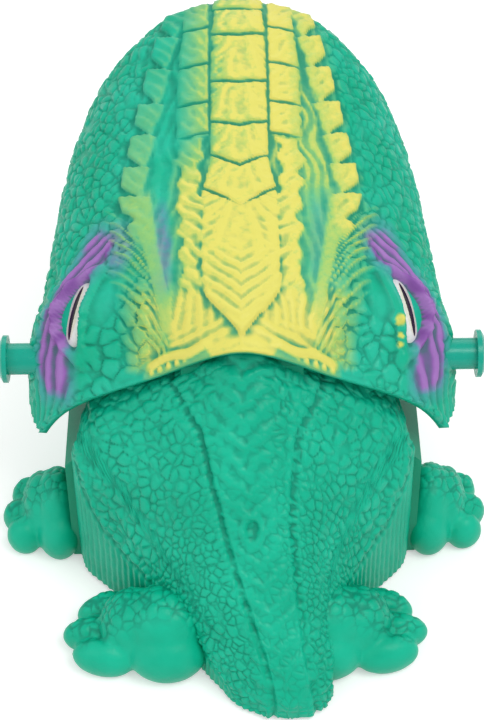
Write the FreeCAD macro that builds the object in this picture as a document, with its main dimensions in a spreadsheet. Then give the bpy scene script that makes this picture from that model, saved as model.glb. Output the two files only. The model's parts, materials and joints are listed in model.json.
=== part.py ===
import FreeCAD, Part
import math
import os

import Sketcher
from FreeCAD import Placement, Rotation, Vector

# Bubble machine in the form of a crouching dinosaur.
# Millimetres, +Z up. The animal faces -Y, its left side is +X, and it stands on Z = 0.
# The head (upper jaw) tilts on two side pegs; the mouth holds a wand wheel that dips in a tray.

SIZES = (
    # shells and fits
    ("wall", 2.4, "wall of the moulded shells"),
    ("seat_gap", 0.2, "gap round a piece that seats in another"),
    ("run_gap", 0.08, "radial clearance of a turning shaft"),
    ("move_gap", 0.5, "gap beside a piece that moves"),
    # head pivot
    ("pivot_y", 21, "pivot axis, distance behind the origin"),
    ("pivot_z", 88, "pivot axis above the floor"),
    ("peg_reach", 11, "pegs beyond the sides of the head"),
    ("peg_radius", 5.9, "shaft of a pivot peg"),
    ("peg_flange_radius", 8.9, "flange of a pivot peg"),
    ("peg_flange_thick", 3.2, "flange of a pivot peg"),
    ("peg_depth", 12, "length of a peg inside its boss"),
    ("boss_inset", 3, "end faces of the pivot bosses inside the sides of the housing"),
    ("boss_radius", 8.6, "pivot boss"),
    # head
    ("head_front", -121, "tip of the snout"),
    ("head_back", 58, "rear end of the head's form before its rim is trimmed"),
    ("head_half_width", 79, "head at the cheeks"),
    ("head_low", 54, "lowest level of the head's form"),
    ("head_top", 160, "bridge of the snout"),
    ("rim_top_y", 52, "middle of the rear rim"),
    ("rim_top_z", 122, "middle of the rear rim"),
    ("cheek_y", 40, "rear corner of the cheeks"),
    ("cheek_z", 68, "rear corner of the cheeks"),
    ("cheek_run", 24, "flat lower edge of the cheeks"),
    ("cheek_drop", 4, "flat lower edge of the cheeks"),
    ("mouth_y", -12, "corner of the mouth"),
    ("mouth_z", 74, "corner of the mouth"),
    ("lip_z", 86, "upper lip at the snout"),
    ("eye_y", 17.5, "middle of the eyes"),
    ("eye_z", 106, "middle of the eyes"),
    ("eye_inset", 16.5, "middle of the eyes inside the cheeks"),
    ("eye_length", 32, "eye, front to rear"),
    ("eye_height", 18, "eye, up and down"),
    ("eye_depth", 5.4, "eye, half of its bulge"),
    ("lid", 3, "raised rim round the eyes"),
    ("relief", 2, "plates and ridges above the skin of the head"),
    ("relief_gap", 1.6, "grooves between the plates"),
    ("palate_z", 91, "lower face of the palate"),
    ("palate_thick", 2.4, "palate plate"),
    ("palate_back", -72, "rear edge of the palate"),
    ("tooth_radius", 4, "teeth at their root"),
    ("tooth_length", 9.5, "teeth"),
    ("upper_teeth_count", 13, "teeth round the upper jaw"),
    ("lower_teeth_count", 13, "teeth round the lower jaw"),
    ("tooth_ring_radius", 46, "curve of the upper teeth"),
    ("tooth_ring_y", -63, "centre of the curve of the upper teeth"),
    # inner housing
    ("housing_half_width", 67, "inner housing"),
    ("housing_front", -16, "front wall of the inner housing"),
    ("housing_back", 44, "rear wall of the inner housing"),
    ("housing_shoulder", 66, "top of the wide part of the inner housing"),
    ("tower_half_width", 22, "narrow upper part of the inner housing"),
    ("tower_front_z", 110, "front edge of the tower's roof"),
    ("tower_radius", 29, "round roof of the tower about the pivot"),
    ("floor_gap", 2, "underside of the base above the floor"),
    # torso and tail
    ("torso_half_width", 64, "torso at its front"),
    ("torso_top", 113, "torso at its front"),
    ("tail_end", 121, "tip of the tail"),
    ("tail_swing", 16, "sideways bend of the tail at its tip"),
    # feet
    ("front_foot_y", 29, "middle of the front feet"),
    ("front_foot_width", 40, "front foot, front to rear"),
    ("front_foot_high", 33, "front foot"),
    ("front_foot_reach", 27, "front feet beyond the sides of the housing"),
    ("rear_foot_y", 88, "middle of the rear feet"),
    ("rear_foot_width", 42, "rear foot, front to rear"),
    ("rear_foot_high", 32, "rear foot"),
    ("rear_foot_start", 20, "inner end of the rear feet, inside the torso"),
    ("rear_foot_end", 66, "toe tips of the rear feet from the middle plane"),
    # lower jaw and tray
    ("jaw_half_width", 60, "lower jaw"),
    ("jaw_bow_y", -50, "centre of the round front of the lower jaw"),
    ("jaw_high", 62, "rim of the lower jaw"),
    ("jaw_chamfer", 10, "sloping lower edge of the jaw"),
    ("tray_back", -43, "rear wall of the tray"),
    ("tray_floor", 24, "underside of the tray"),
    ("tray_high", 56, "rim of the tray"),
    ("tray_wall", 1.8, "tray"),
    ("tray_margin", 1.2, "gap between tray and lower jaw"),
    ("post_radius", 4, "posts under the tray"),
    ("post_x", 30, "posts under the tray"),
    ("drain_z", 32, "drain plug"),
    ("drain_radius", 4, "drain plug"),
    ("drain_head_radius", 6.5, "drain plug head"),
    ("drain_head_thick", 3, "drain plug head"),
    # drive
    ("motor_z", 88, "motor and fan axis"),
    ("motor_radius", 12, "motor can"),
    ("motor_length", 26, "motor can"),
    ("motor_cap_length", 4, "end cap of the motor"),
    ("motor_shaft_radius", 1, "motor shaft"),
    ("tooth_module", 0.9, "module of the gears"),
    ("wheel_teeth", 40, "teeth of each large gear"),
    ("pinion_teeth", 10, "teeth of each small gear"),
    ("gear_thick", 3.6, "each gear along its axis"),
    ("gear_step", 4.4, "pitch of the three gear layers"),
    ("plate_thick", 2.4, "gearbox plates"),
    ("plate_inner_x", -25, "gearbox plates, right edge"),
    ("plate_outer_x", 47, "gearbox plates, left edge"),
    ("plate_low", 45, "gearbox plates, lower edge"),
    ("plate_high", 111, "gearbox plates, upper edge"),
    ("plate_margin", 4.5, "gearbox posts from the edges of the plates"),
    ("spacer_radius", 3, "gearbox posts"),
    ("axle_radius", 1.5, "gear axles and wheel shaft"),
    ("fan_radius", 17, "impeller"),
    ("fan_depth", 10, "impeller along its axis"),
    ("fan_blades", 8, "blades of the impeller"),
    ("fan_case_radius", 20, "fan housing"),
    ("fan_case_depth", 14, "fan housing along its axis"),
    ("nozzle_radius", 8.2, "outlet of the air nozzle"),
    ("nozzle_length", 6, "air nozzle"),
    # wand wheel
    ("wand_count", 6, "rings of the wand wheel"),
    ("wand_radius", 9, "rings of the wand wheel, outside"),
    ("wand_band", 2, "rings of the wand wheel, their band"),
    ("wand_thick", 4, "wand wheel along its axis"),
    ("wand_hub_radius", 5, "hub of the wand wheel"),
    ("wand_gap", 2, "gap between nozzle and wand wheel"),
    # power
    ("cell_radius", 7.15, "AA cell"),
    ("cell_length", 50, "AA cell"),
    ("cell_pitch", 15, "pitch of the cells"),
    ("cell_count", 3, "cells"),
    ("box_wall", 1.6, "battery box"),
    ("contact_thick", 0.5, "contact plates"),
    ("contact_room", 4.5, "room for a contact at each end of a cell"),
    ("door_thick", 1.6, "battery door"),
    ("door_edge", 4, "battery door beyond the battery box"),
    ("switch_y", -4, "power switch"),
    ("switch_z", 30, "power switch"),
    ("switch_travel", 4, "travel of the switch knob"),
    ("knob_length", 6, "switch knob, front to rear"),
    ("knob_high", 4.4, "switch knob, up and down"),
    ("screw_radius", 1.5, "screws, shank"),
    ("screw_head_radius", 2.8, "screws, head"),
    ("screw_head_thick", 1.8, "screws, head"),
)

doc = FreeCAD.newDocument("BubbleMachine")
sheet = doc.addObject("Spreadsheet::Sheet", "Sizes")
for row, (alias, amount, meaning) in enumerate(SIZES, start=1):
    sheet.set("A%d" % row, meaning)
    sheet.set("B%d" % row, str(amount))
    sheet.setAlias("B%d" % row, alias)
doc.recompute()


class Size:
    """A length: its expression, which binds it to the sheet, and its value."""

    def __init__(self, text, value):
        self.text = text
        self.value = value

    def __add__(self, other):
        other = sized(other)
        return Size("(%s + %s)" % (self.text, other.text), self.value + other.value)

    def __sub__(self, other):
        other = sized(other)
        return Size("(%s - %s)" % (self.text, other.text), self.value - other.value)

    def __mul__(self, other):
        other = sized(other)
        return Size("(%s * %s)" % (self.text, other.text), self.value * other.value)

    def __truediv__(self, other):
        other = sized(other)
        return Size("(%s / %s)" % (self.text, other.text), self.value / other.value)

    def __neg__(self):
        return Size("(-1 * %s)" % self.text, -self.value)

    def __radd__(self, other):
        return sized(other) + self

    def __rsub__(self, other):
        return sized(other) - self

    def __rmul__(self, other):
        return sized(other) * self


def sized(number):
    """A plain number as a Size; a Size stays as it is."""
    return number if isinstance(number, Size) else Size("(%r)" % float(number), float(number))


class Dimensions:
    """The cells of the sheet by their aliases."""

    def __getattr__(self, alias):
        return Size("Sizes." + alias, float(sheet.get(alias)))


dim = Dimensions()
nodes = []


def bind(item, prop, size):
    """Bind one property of an object to the sheet."""
    item.setExpression(prop, sized(size).text)


def place(item, x=0, y=0, z=0, turn=None):
    """Bind the position of an object; turn is a fixed Rotation."""
    spot = [sized(a) for a in (x, y, z)]
    item.Placement = Placement(Vector(*[a.value for a in spot]), turn or Rotation())
    for axis, size in zip("xyz", spot):
        bind(item, ".Placement.Base." + axis, size)
    return item


def node(item, label):
    """Hand an object in as the sub-part of this name."""
    item.Label = label
    nodes.append(item)
    return item


# --- primitives and booleans -------------------------------------------------

TURNS = {
    "x": Rotation(Vector(0, 1, 0), 90),
    "y": Rotation(Vector(1, 0, 0), -90),
    "z": Rotation(),
}


def cylinder(radius, length, at, along="z"):
    """A cylinder that starts at a point and runs along +x, +y or +z."""
    item = doc.addObject("Part::Cylinder", "Cylinder")
    bind(item, "Radius", radius)
    bind(item, "Height", length)
    return place(item, *at, turn=TURNS[along])


def cone(low, high, length, at, along="z"):
    item = doc.addObject("Part::Cone", "Cone")
    bind(item, "Radius1", low)
    bind(item, "Radius2", high)
    bind(item, "Height", length)
    return place(item, *at, turn=TURNS[along])


def block(low, high):
    """A box between two corners."""
    low, high = [sized(a) for a in low], [sized(a) for a in high]
    item = doc.addObject("Part::Box", "Box")
    for prop, start, end in zip(("Length", "Width", "Height"), low, high):
        bind(item, prop, end - start)
    return place(item, *low)


def ellipsoid(half_x, half_y, half_z, at, turn=None):
    item = doc.addObject("Part::Ellipsoid", "Ellipsoid")
    for prop, size in (("Radius2", half_x), ("Radius3", half_y), ("Radius1", half_z)):
        bind(item, prop, size)
    return place(item, *at, turn=turn)


def fuse(*items):
    item = doc.addObject("Part::MultiFuse", "Fuse")
    item.Shapes = list(items)
    item.Refine = True
    return item


def group(items):
    """Separate solids that share one node."""
    item = doc.addObject("Part::Compound", "Group")
    item.Links = list(items)
    return item


def cut(base, *tools):
    tool = tools[0] if len(tools) == 1 else fuse(*tools)
    item = doc.addObject("Part::Cut", "Cut")
    item.Base, item.Tool = base, tool
    return item


def common(base, tool):
    item = doc.addObject("Part::Common", "Common")
    item.Base, item.Tool = base, tool
    return item


# --- PartDesign bodies -------------------------------------------------------

def new_body(name):
    return doc.addObject("PartDesign::Body", name)


def sketch(body, role, lift=0, turn=0.0):
    """A sketch on an origin plane of its own body, lifted along the plane's normal."""
    item = body.newObject("Sketcher::SketchObject", "Profile")
    planes = [f for f in body.Origin.OriginFeatures if f.Role == role + "_Plane"]
    item.AttachmentSupport = (planes[0], [""])
    item.MapMode = "FlatFace"
    lift = sized(lift)
    item.AttachmentOffset = Placement(Vector(0, 0, lift.value), Rotation(Vector(0, 0, 1), turn))
    bind(item, ".AttachmentOffset.Base.z", lift)
    return item


def fix_point(item, edge, end, x, y):
    """Bind one end of an edge of a sketch to a place."""
    for kind, size, axis in (("DistanceX", sized(x), -2), ("DistanceY", sized(y), -1)):
        if abs(size.value) < 1e-9:
            item.addConstraint(Sketcher.Constraint("PointOnObject", edge, end, axis))
        else:
            number = item.addConstraint(Sketcher.Constraint(kind, -1, 1, edge, end, size.value))
            bind(item, "Constraints[%d]" % number, size)


def polygon(item, points):
    """A closed outline of straight edges through bound points."""
    points = [(sized(x), sized(y)) for x, y in points]
    spots = [Vector(x.value, y.value, 0) for x, y in points]
    first, count = item.GeometryCount, len(spots)
    for i in range(count):
        item.addGeometry(Part.LineSegment(spots[i], spots[(i + 1) % count]), False)
    for i in range(count):
        after = first + (i + 1) % count
        item.addConstraint(Sketcher.Constraint("Coincident", first + i, 2, after, 1))
    for i, (x, y) in enumerate(points):
        fix_point(item, first + i, 1, x, y)


def circle(item, x, y, radius):
    x, y, radius = sized(x), sized(y), sized(radius)
    edge = item.addGeometry(Part.Circle(Vector(x.value, y.value, 0), Vector(0, 0, 1), radius.value), False)
    fix_point(item, edge, 3, x, y)
    number = item.addConstraint(Sketcher.Constraint("Radius", edge, radius.value))
    bind(item, "Constraints[%d]" % number, radius)


def pad(body, profile, length, both=False, back=False):
    """Add material along the normal of the profile, to both sides, or backwards."""
    item = body.newObject("PartDesign::Pad", "Pad")
    item.Profile = profile
    item.Midplane = both
    item.Reversed = back
    bind(item, "Length", length)
    return item


def pocket(body, profile, length, both=False, back=False):
    item = body.newObject("PartDesign::Pocket", "Pocket")
    item.Profile = profile
    item.Midplane = both
    item.Reversed = back
    bind(item, "Length", length)
    return item


def polar(body, feature, profile, count):
    """Repeat a feature about the middle of its profile."""
    item = body.newObject("PartDesign::PolarPattern", "Ring")
    item.Originals = [feature]
    item.Axis = (profile, ["N_Axis"])
    item.Angle = 360
    bind(item, "Occurrences", count)
    body.Tip = item
    return item


def turned(name, points):
    """A body turned about its own Z axis from (radius, height) points."""
    body = new_body(name)
    profile = sketch(body, "XZ")
    polygon(profile, points)
    spin = body.newObject("PartDesign::Revolution", "Turn")
    spin.Profile = profile
    spin.ReferenceAxis = (profile, ["V_Axis"])
    spin.Angle = 360
    return body


# Places that several pieces share.
peg_end = dim.head_half_width + dim.peg_reach
boss_end = dim.housing_half_width - dim.boss_inset
eye_x = dim.head_half_width - dim.eye_inset

# --- free forms: head and torso ----------------------------------------------

# One row for each section, front to rear: place along the head, height of the crown, and
# the shoulder, side and base points, as shares of the head's length, half width and height.
HEAD_FORM = (
    (0.000, 0.640, (0.09, 0.63), (0.15, 0.50), (0.12, 0.34)),
    (0.028, 0.850, (0.20, 0.79), (0.36, 0.56), (0.32, 0.26)),
    (0.073, 0.960, (0.31, 0.89), (0.54, 0.60), (0.50, 0.25)),
    (0.145, 0.995, (0.42, 0.91), (0.70, 0.60), (0.66, 0.25)),
    (0.257, 0.962, (0.50, 0.86), (0.80, 0.56), (0.77, 0.24)),
    (0.400, 0.900, (0.56, 0.79), (0.86, 0.52), (0.84, 0.22)),
    (0.540, 0.835, (0.59, 0.73), (0.89, 0.49), (0.88, 0.20)),
    (0.676, 0.775, (0.60, 0.68), (0.92, 0.45), (0.94, 0.12)),
    (0.790, 0.725, (0.60, 0.62), (0.95, 0.41), (1.01, 0.05)),
    (0.900, 0.675, (0.45, 0.51), (0.84, 0.29), (1.02, 0.00)),
    (1.000, 0.615, (0.42, 0.43), (0.82, 0.20), (1.02, -0.02)),
)

# The same for the torso and tail, rear of the housing to the tip of the tail; the last
# number is the share of the tail's sideways swing.
TORSO_FORM = (
    (0.00, 0.990, (0.33, 0.86), (0.76, 0.66), (1.00, 0.50), 0.00),
    (0.10, 0.925, (0.34, 0.81), (0.73, 0.61), (0.94, 0.42), 0.00),
    (0.21, 0.840, (0.35, 0.75), (0.69, 0.54), (0.84, 0.32), 0.02),
    (0.36, 0.700, (0.35, 0.62), (0.57, 0.43), (0.67, 0.25), 0.08),
    (0.51, 0.560, (0.29, 0.50), (0.45, 0.35), (0.52, 0.20), 0.20),
    (0.67, 0.415, (0.23, 0.37), (0.36, 0.26), (0.41, 0.15), 0.42),
    (0.83, 0.275, (0.19, 0.24), (0.29, 0.17), (0.33, 0.09), 0.68),
    (0.94, 0.175, (0.14, 0.15), (0.22, 0.10), (0.25, 0.05), 0.88),
    (1.00, 0.100, (0.08, 0.09), (0.12, 0.06), (0.13, 0.04), 1.00),
)


def section_wire(y, middle, half, level):
    """A closed section at y: a smooth arch through points on one side, mirrored, and a flat base."""
    arch = [(-x, z) for x, z in half] + [(x, z) for x, z in reversed(half[:-1])]
    curve = Part.BSplineCurve()
    curve.interpolate([Vector(middle + x, y, z) for x, z in arch])
    left, right = arch[0], arch[-1]
    corners = [Vector(middle + right[0], y, right[1]), Vector(middle + right[0], y, level),
               Vector(middle + left[0], y, level), Vector(middle + left[0], y, left[1])]
    lines = [Part.LineSegment(a, b).toShape() for a, b in zip(corners, corners[1:])]
    return Part.Wire([curve.toShape()] + lines)


def head_solid(inset):
    """The closed form of the head; inset moves every wall inwards."""
    front, back = dim.head_front.value, dim.head_back.value
    half, low = dim.head_half_width.value, dim.head_low.value
    high = dim.head_top.value - low
    wires = []
    for along, crown, *points in HEAD_FORM:
        y = front + along * (back - front) + inset * max(0.0, 1 - along * 14)
        side = [(x * half - inset, low + z * high - (0.4 * inset if z > 0.35 else 0)) for x, z in points]
        outline = side[::-1] + [(0, low + crown * high - inset)]
        wires.append(section_wire(y, 0, outline, low - 10))
    return Part.makeLoft(wires, True, False)


def torso_solid(inset):
    """The closed form of the torso and tail; inset moves every wall inwards."""
    front, back = dim.housing_back.value, dim.tail_end.value
    half, high = dim.torso_half_width.value, dim.torso_top.value
    wires = []
    for along, crown, *points, swing in TORSO_FORM:
        y = front + along * (back - front) - (2 * inset if along else 0)
        side = [(x * half - inset, z * high - 0.5 * inset) for x, z in points]
        outline = side[::-1] + [(0, crown * high - inset)]
        wires.append(section_wire(y, -swing * dim.tail_swing.value, outline, dim.floor_gap.value + inset))
    if inset:
        wires = wires[:-2]
    return Part.makeLoft(wires, True, False)


def feature(shape):
    """A free form as an object of the document."""
    item = doc.addObject("Part::Feature", "Form")
    item.Shape = shape
    return item


# --- head ---------------------------------------------------------------------

def trim_profile(body):
    """The side outline of everything behind the rim and below the lips."""
    above = dim.head_top + dim.lid
    beyond = dim.head_back + dim.lid
    before = dim.head_front - dim.lid
    lean = (dim.rim_top_y - dim.cheek_y) / (dim.rim_top_z - dim.cheek_z)
    below = dim.head_low - dim.cheek_run
    profile = sketch(body, "YZ")
    polygon(profile, (
        (dim.rim_top_y + (above - dim.rim_top_z) * lean, above),
        (dim.rim_top_y, dim.rim_top_z),
        (dim.cheek_y, dim.cheek_z),
        (dim.cheek_y - dim.cheek_run, dim.cheek_z - dim.cheek_drop),
        (dim.mouth_y, dim.mouth_z),
        (before, dim.lip_z),
        (before, below),
        (beyond, below),
        (beyond, above),
    ))
    return profile


# The sculpted relief, seen from above, as shares of the head's length and half width.
# Front edge of each plate of the crest: middle, half width, and how far its corners lie forward.
CREST = ((0.050, 0.100, 0.013), (0.134, 0.134, 0.013), (0.212, 0.134, 0.013), (0.324, 0.134, 0.014),
         (0.433, 0.136, 0.020), (0.542, 0.155, 0.048), (0.634, 0.175, 0.059))
CREST_POINT = 0.94
FLANK_EDGES = (0.060, 0.140, 0.218, 0.298, 0.383, 0.467)
FLANK_IN, FLANK_OUT, FLANK_SLANT = 0.158, 0.275, 0.03
BAND_EDGES, BAND_IN, BAND_OUT = (0.480, 0.780), 0.195, 0.290
RIDGE = ((0.10, 0.32), (0.18, 0.44), (0.37, 0.53), (0.56, 0.58), (0.70, 0.54))
RIDGE_TEETH, RIDGE_WIDE, RIDGE_TOOTH = 8, 0.060, 0.075


def plan(points, side=1):
    """An upright prism through the head from points as shares of its length and half width."""
    front, back, half = dim.head_front.value, dim.head_back.value, dim.head_half_width.value
    spots = [Vector(side * x * half, front + y * (back - front), dim.palate_z.value) for x, y in points]
    face = Part.Face(Part.makePolygon(spots + spots[:1]))
    return face.extrude(Vector(0, 0, dim.head_top.value))


def groove():
    """Gap between two plates as a share of the head's length."""
    return dim.relief_gap.value / (dim.head_back.value - dim.head_front.value)


def crest_plates():
    """The overlapping plates down the middle; the last runs out to a point."""
    gap = groove()
    plates = [plan(((-h0, y0 - bend0), (0, y0), (h0, y0 - bend0),
                    (h1, y1 - bend1 - gap), (0, y1 - gap), (-h1, y1 - bend1 - gap)))
              for (y0, h0, bend0), (y1, h1, bend1) in zip(CREST, CREST[1:])]
    start, half, bend = CREST[-1]
    waist, middle = half * 0.9, (start + CREST_POINT) / 2
    plates.append(plan(((-half, start - bend), (0, start), (half, start - bend),
                        (waist, middle), (0, CREST_POINT), (-waist, middle))))
    return plates


def flank_plates(side):
    """A narrower row beside the crest, and the long band behind it."""
    gap = groove()
    plates = [plan(((FLANK_IN, y0), (FLANK_OUT, y0 + FLANK_SLANT),
                    (FLANK_OUT, y1 + FLANK_SLANT - gap), (FLANK_IN, y1 - gap)), side)
              for y0, y1 in zip(FLANK_EDGES, FLANK_EDGES[1:])]
    start, end = BAND_EDGES
    plates.append(plan(((BAND_IN, start), (BAND_OUT, start + FLANK_SLANT),
                        ((BAND_IN + BAND_OUT) / 2, end)), side))
    return plates


def saw_ridge(side):
    """A long ridge with teeth that point outwards and to the rear."""
    def line(y):
        after = next(n for n, (place, _) in enumerate(RIDGE) if place >= y - 1e-9) or 1
        (y0, x0), (y1, x1) = RIDGE[after - 1:after + 1]
        return x0 + (x1 - x0) * (y - y0) / (y1 - y0)
    start, end = RIDGE[0][0], RIDGE[-1][0]
    places = [start + (end - start) * n / RIDGE_TEETH for n in range(RIDGE_TEETH + 1)]
    outer = []
    for y0, y1 in zip(places, places[1:]):
        outer += [(line(y0), y0), (line(y1) + RIDGE_TOOTH, y1)]
    inner = [(line(y) - RIDGE_WIDE, y) for y in reversed(places)]
    return plan(outer + inner, side)


def relief():
    """The plates and ridges: a layer over the skin, kept inside their outlines."""
    prisms = crest_plates()
    for side in (-1, 1):
        prisms += flank_plates(side) + [saw_ridge(side)]
    layer = cut(feature(head_solid(-dim.relief.value)), feature(head_solid(dim.wall.value / 2)))
    return common(layer, feature(Part.makeCompound(prisms)))


def head_shell():
    trim = new_body("HeadTrim")
    pad(trim, trim_profile(trim), dim.head_half_width * 3, both=True)
    outer, inner = feature(head_solid(0)), feature(head_solid(dim.wall.value))
    lids = [ellipsoid(dim.eye_depth + dim.lid / 2, dim.eye_length / 2 + dim.lid, dim.eye_height / 2 + dim.lid,
                      (eye_x * side, dim.eye_y, dim.eye_z)) for side in (-1, 1)]
    shell = fuse(cut(fuse(outer, *lids), inner), relief())
    tools = [trim]
    for side in (-1, 1):
        start = boss_end if side > 0 else -peg_end
        hole = cylinder(dim.peg_radius + dim.run_gap * 2, peg_end - boss_end,
                        (start, dim.pivot_y, dim.pivot_z), "x")
        tools.append(hole)
        tools.append(ellipsoid(dim.eye_depth + dim.seat_gap, dim.eye_length / 2 + dim.seat_gap,
                               dim.eye_height / 2 + dim.seat_gap,
                               (eye_x * side, dim.eye_y, dim.eye_z)))
    node(cut(shell, *tools), "head_shell")


def eyes():
    for side, name in ((1, "eye_left"), (-1, "eye_right")):
        node(ellipsoid(dim.eye_depth, dim.eye_length / 2, dim.eye_height / 2,
                       (eye_x * side, dim.eye_y, dim.eye_z)), name)


def palate():
    """A plate that closes the snout from below, as wide as the cavity."""
    form = feature(head_solid(dim.wall.value + dim.seat_gap.value))
    slab = block((-dim.head_half_width, dim.head_front, dim.palate_z),
                 (dim.head_half_width, dim.palate_back, dim.palate_z + dim.palate_thick))
    node(common(form, slab), "palate")


def tooth_row(label, count, radius, centre_y, root_z, length):
    """A curved carrier strip with teeth; a negative length points down."""
    strip_high = 2.4
    ring = cylinder(radius + dim.tooth_radius, strip_high, (0, centre_y, root_z))
    bore = cylinder(radius - dim.tooth_radius, strip_high, (0, centre_y, root_z))
    behind = block((-2 * dim.jaw_half_width, centre_y + dim.tooth_radius, root_z - 1),
                   (2 * dim.jaw_half_width, centre_y + radius * 2, root_z + strip_high + 1))
    pieces = [cut(ring, bore, behind)]
    for number in range(int(count.value)):
        angle = math.radians(180 + 180 * number / (count.value - 1))
        spot = (radius * math.cos(angle), centre_y + radius * math.sin(angle))
        if length.value > 0:
            tooth = cone(dim.tooth_radius - 0.4, 0.8, length, (*spot, root_z + strip_high))
        else:
            tooth = cone(0.8, dim.tooth_radius - 0.4, -length, (*spot, root_z + length))
        pieces.append(tooth)
    node(fuse(*pieces), label)


# --- housing, torso, base -----------------------------------------------------

def tower_form(inset, low):
    """The narrow upper part: upright in front, with a round roof about the pivot."""
    inset = sized(inset)
    half, front, back = dim.tower_half_width - inset, dim.housing_front + inset, dim.housing_back - inset
    top = dim.tower_front_z - inset
    roof = cylinder(dim.tower_radius - inset, half * 2, (-half, dim.pivot_y, dim.pivot_z), "x")
    fore = block((-half, front, low), (half, dim.pivot_y, top))
    rear = block((-half, front, low), (half, back, dim.pivot_z))
    return common(fuse(roof, fore, rear), block((-half, front, low), (half, back, dim.head_top)))


def inner_housing():
    """Wide box, narrow tower with a round roof, and two bosses for the pegs."""
    low = dim.floor_gap + dim.wall
    front, back, half = dim.housing_front, dim.housing_back, dim.housing_half_width
    shoulder, wall = dim.housing_shoulder, dim.wall
    slope = 12
    box = new_body("Wide")
    outline = sketch(box, "XZ", -back)
    polygon(outline, ((-half, low), (half, low), (half, shoulder - slope), (half - slope, shoulder),
                      (slope - half, shoulder), (-half, shoulder - slope)))
    pad(box, outline, back - front)
    crown = tower_form(0, shoulder - slope)
    bosses = [cylinder(dim.boss_radius, boss_end - dim.tower_half_width + 1,
                       (dim.tower_half_width - 1 if side > 0 else -boss_end, dim.pivot_y, dim.pivot_z), "x")
              for side in (-1, 1)]
    ribs = [block((dim.tower_half_width - 1 if side > 0 else 8 - boss_end, dim.pivot_y - 2, shoulder - 1),
                  (boss_end - 8 if side > 0 else 1 - dim.tower_half_width, dim.pivot_y + 2,
                   dim.pivot_z - dim.boss_radius / 2)) for side in (-1, 1)]
    hollow = new_body("WideHollow")
    inside = sketch(hollow, "XZ", wall - back)
    polygon(inside, ((wall - half, low - 1), (half - wall, low - 1), (half - wall, shoulder - slope - 1),
                     (half - slope - 1, shoulder - wall), (slope + 1 - half, shoulder - wall),
                     (wall - half, shoulder - slope - 1)))
    pad(hollow, inside, back - front - wall * 2)
    tower_hollow = tower_form(wall, shoulder - slope - 1)
    motor_hole = cylinder(dim.motor_radius + dim.move_gap, wall + 2, (0, front - 1, dim.motor_z), "y")
    bores = [cylinder(dim.peg_radius, dim.peg_depth, (start, dim.pivot_y, dim.pivot_z), "x")
             for start in (boss_end - dim.peg_depth, -boss_end)]
    reach, knob_half = switch_reach(), dim.knob_high / 2 + dim.seat_gap
    slot = block((half - wall - 1, dim.switch_y - reach, dim.switch_z - knob_half),
                 (half + 1, dim.switch_y + reach, dim.switch_z + knob_half))
    wheel_clear = cylinder(dim.axle_radius + 1.5, wall + 2, (0, front - 1, wheel_z), "y")
    whole = cut(fuse(box, crown, *bosses, *ribs), hollow, tower_hollow, motor_hole,
                wheel_clear, slot, *bores)
    node(fuse(whole, *screw_posts()), "inner_housing")


def base_plate():
    """Flat base of the housing with the window of the battery box."""
    low, high = dim.floor_gap, dim.floor_gap + dim.wall
    plate = block((-dim.housing_half_width, dim.housing_front, low),
                  (dim.housing_half_width, dim.housing_back, high))
    x, y0, y1 = box_reach()
    edge = dim.door_edge
    window = block((-x - edge, y0 - edge, low - 1), (x + edge, y1 + edge, low + dim.door_thick))
    well = block((-x, y0, low - 1), (x, y1, high + 1))
    holes = [cylinder(dim.screw_radius, dim.wall + 2, (x, y, low - 1)) for x, y in base_screw_places()]
    seats = [cylinder(dim.screw_head_radius + dim.seat_gap, dim.screw_head_thick, (x, y, low))
             for x, y in base_screw_places()]
    node(cut(plate, window, well, *holes, *seats), "base_plate")


def base_screw_places():
    x, rear, fore = dim.housing_half_width - 6, dim.housing_back - 6, dim.housing_front + 6
    return [(x, rear), (-x, rear), (x, fore), (-x, fore)]


def screws(places, start_z, length, label):
    """Countersunk screws that point up."""
    made = []
    for x, y in places:
        shank = cylinder(dim.screw_radius, length, (x, y, start_z))
        head = cylinder(dim.screw_head_radius, dim.screw_head_thick, (x, y, start_z))
        made.append(fuse(shank, head))
    node(group(made), label)


def screw_posts():
    """Hollow posts inside the housing that take the base screws."""
    low = dim.floor_gap + dim.wall
    made = []
    for x, y in base_screw_places():
        made.append(cut(cylinder(dim.post_radius, 16, (x, y, low)),
                        cylinder(dim.screw_radius, 13, (x, y, low - 1))))
    return made


def torso():
    outer = feature(torso_solid(0))
    inner = feature(torso_solid(dim.wall.value))
    node(cut(outer, inner), "torso_shell")
    return outer


# Lobes of a foot: centre and radii as shares of its reach, width and height. The ankle and
# the palm come first, then three toes.
FOOT_LOBES = (
    ((0.20, 0.04, 0.36), (0.38, 0.38, 0.64)),
    ((0.46, -0.04, 0.30), (0.32, 0.36, 0.56)),
    ((0.22, 0.26, 0.20), (0.36, 0.24, 0.44)),
    ((0.68, -0.32, 0.16), (0.28, 0.16, 0.32)),
    ((0.75, -0.02, 0.16), (0.25, 0.17, 0.33)),
    ((0.68, 0.27, 0.15), (0.28, 0.17, 0.30)),
)


def foot(label, side, y, width, high, start, end, against=None):
    """Rounded lobes with a flat sole; the foot seats flat on the part beside it."""
    y, reach = sized(y), end - start
    lobes = [ellipsoid(reach * rx, width * ry, high * rz,
                       (side * (start + reach * cx), y + width * cy, high * cz))
             for (cx, cy, cz), (rx, ry, rz) in FOOT_LOBES]
    near, far = (start, end + 1) if side > 0 else (-end - 1, -start)
    whole = common(fuse(*lobes), block((near, y - width, 0), (far, y + width, high * 2)))
    node(cut(whole, against) if against else whole, label)


# --- lower jaw and tray -------------------------------------------------------

def jaw_form(half, bow_y, back, low, high):
    """A block with a round front."""
    disc = common(cylinder(half, high - low, (0, bow_y, low)),
                  block((-half, bow_y - half, low), (half, bow_y + 1, high)))
    rear = block((-half, bow_y, low), (half, back, high))
    return fuse(disc, rear)


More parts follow.
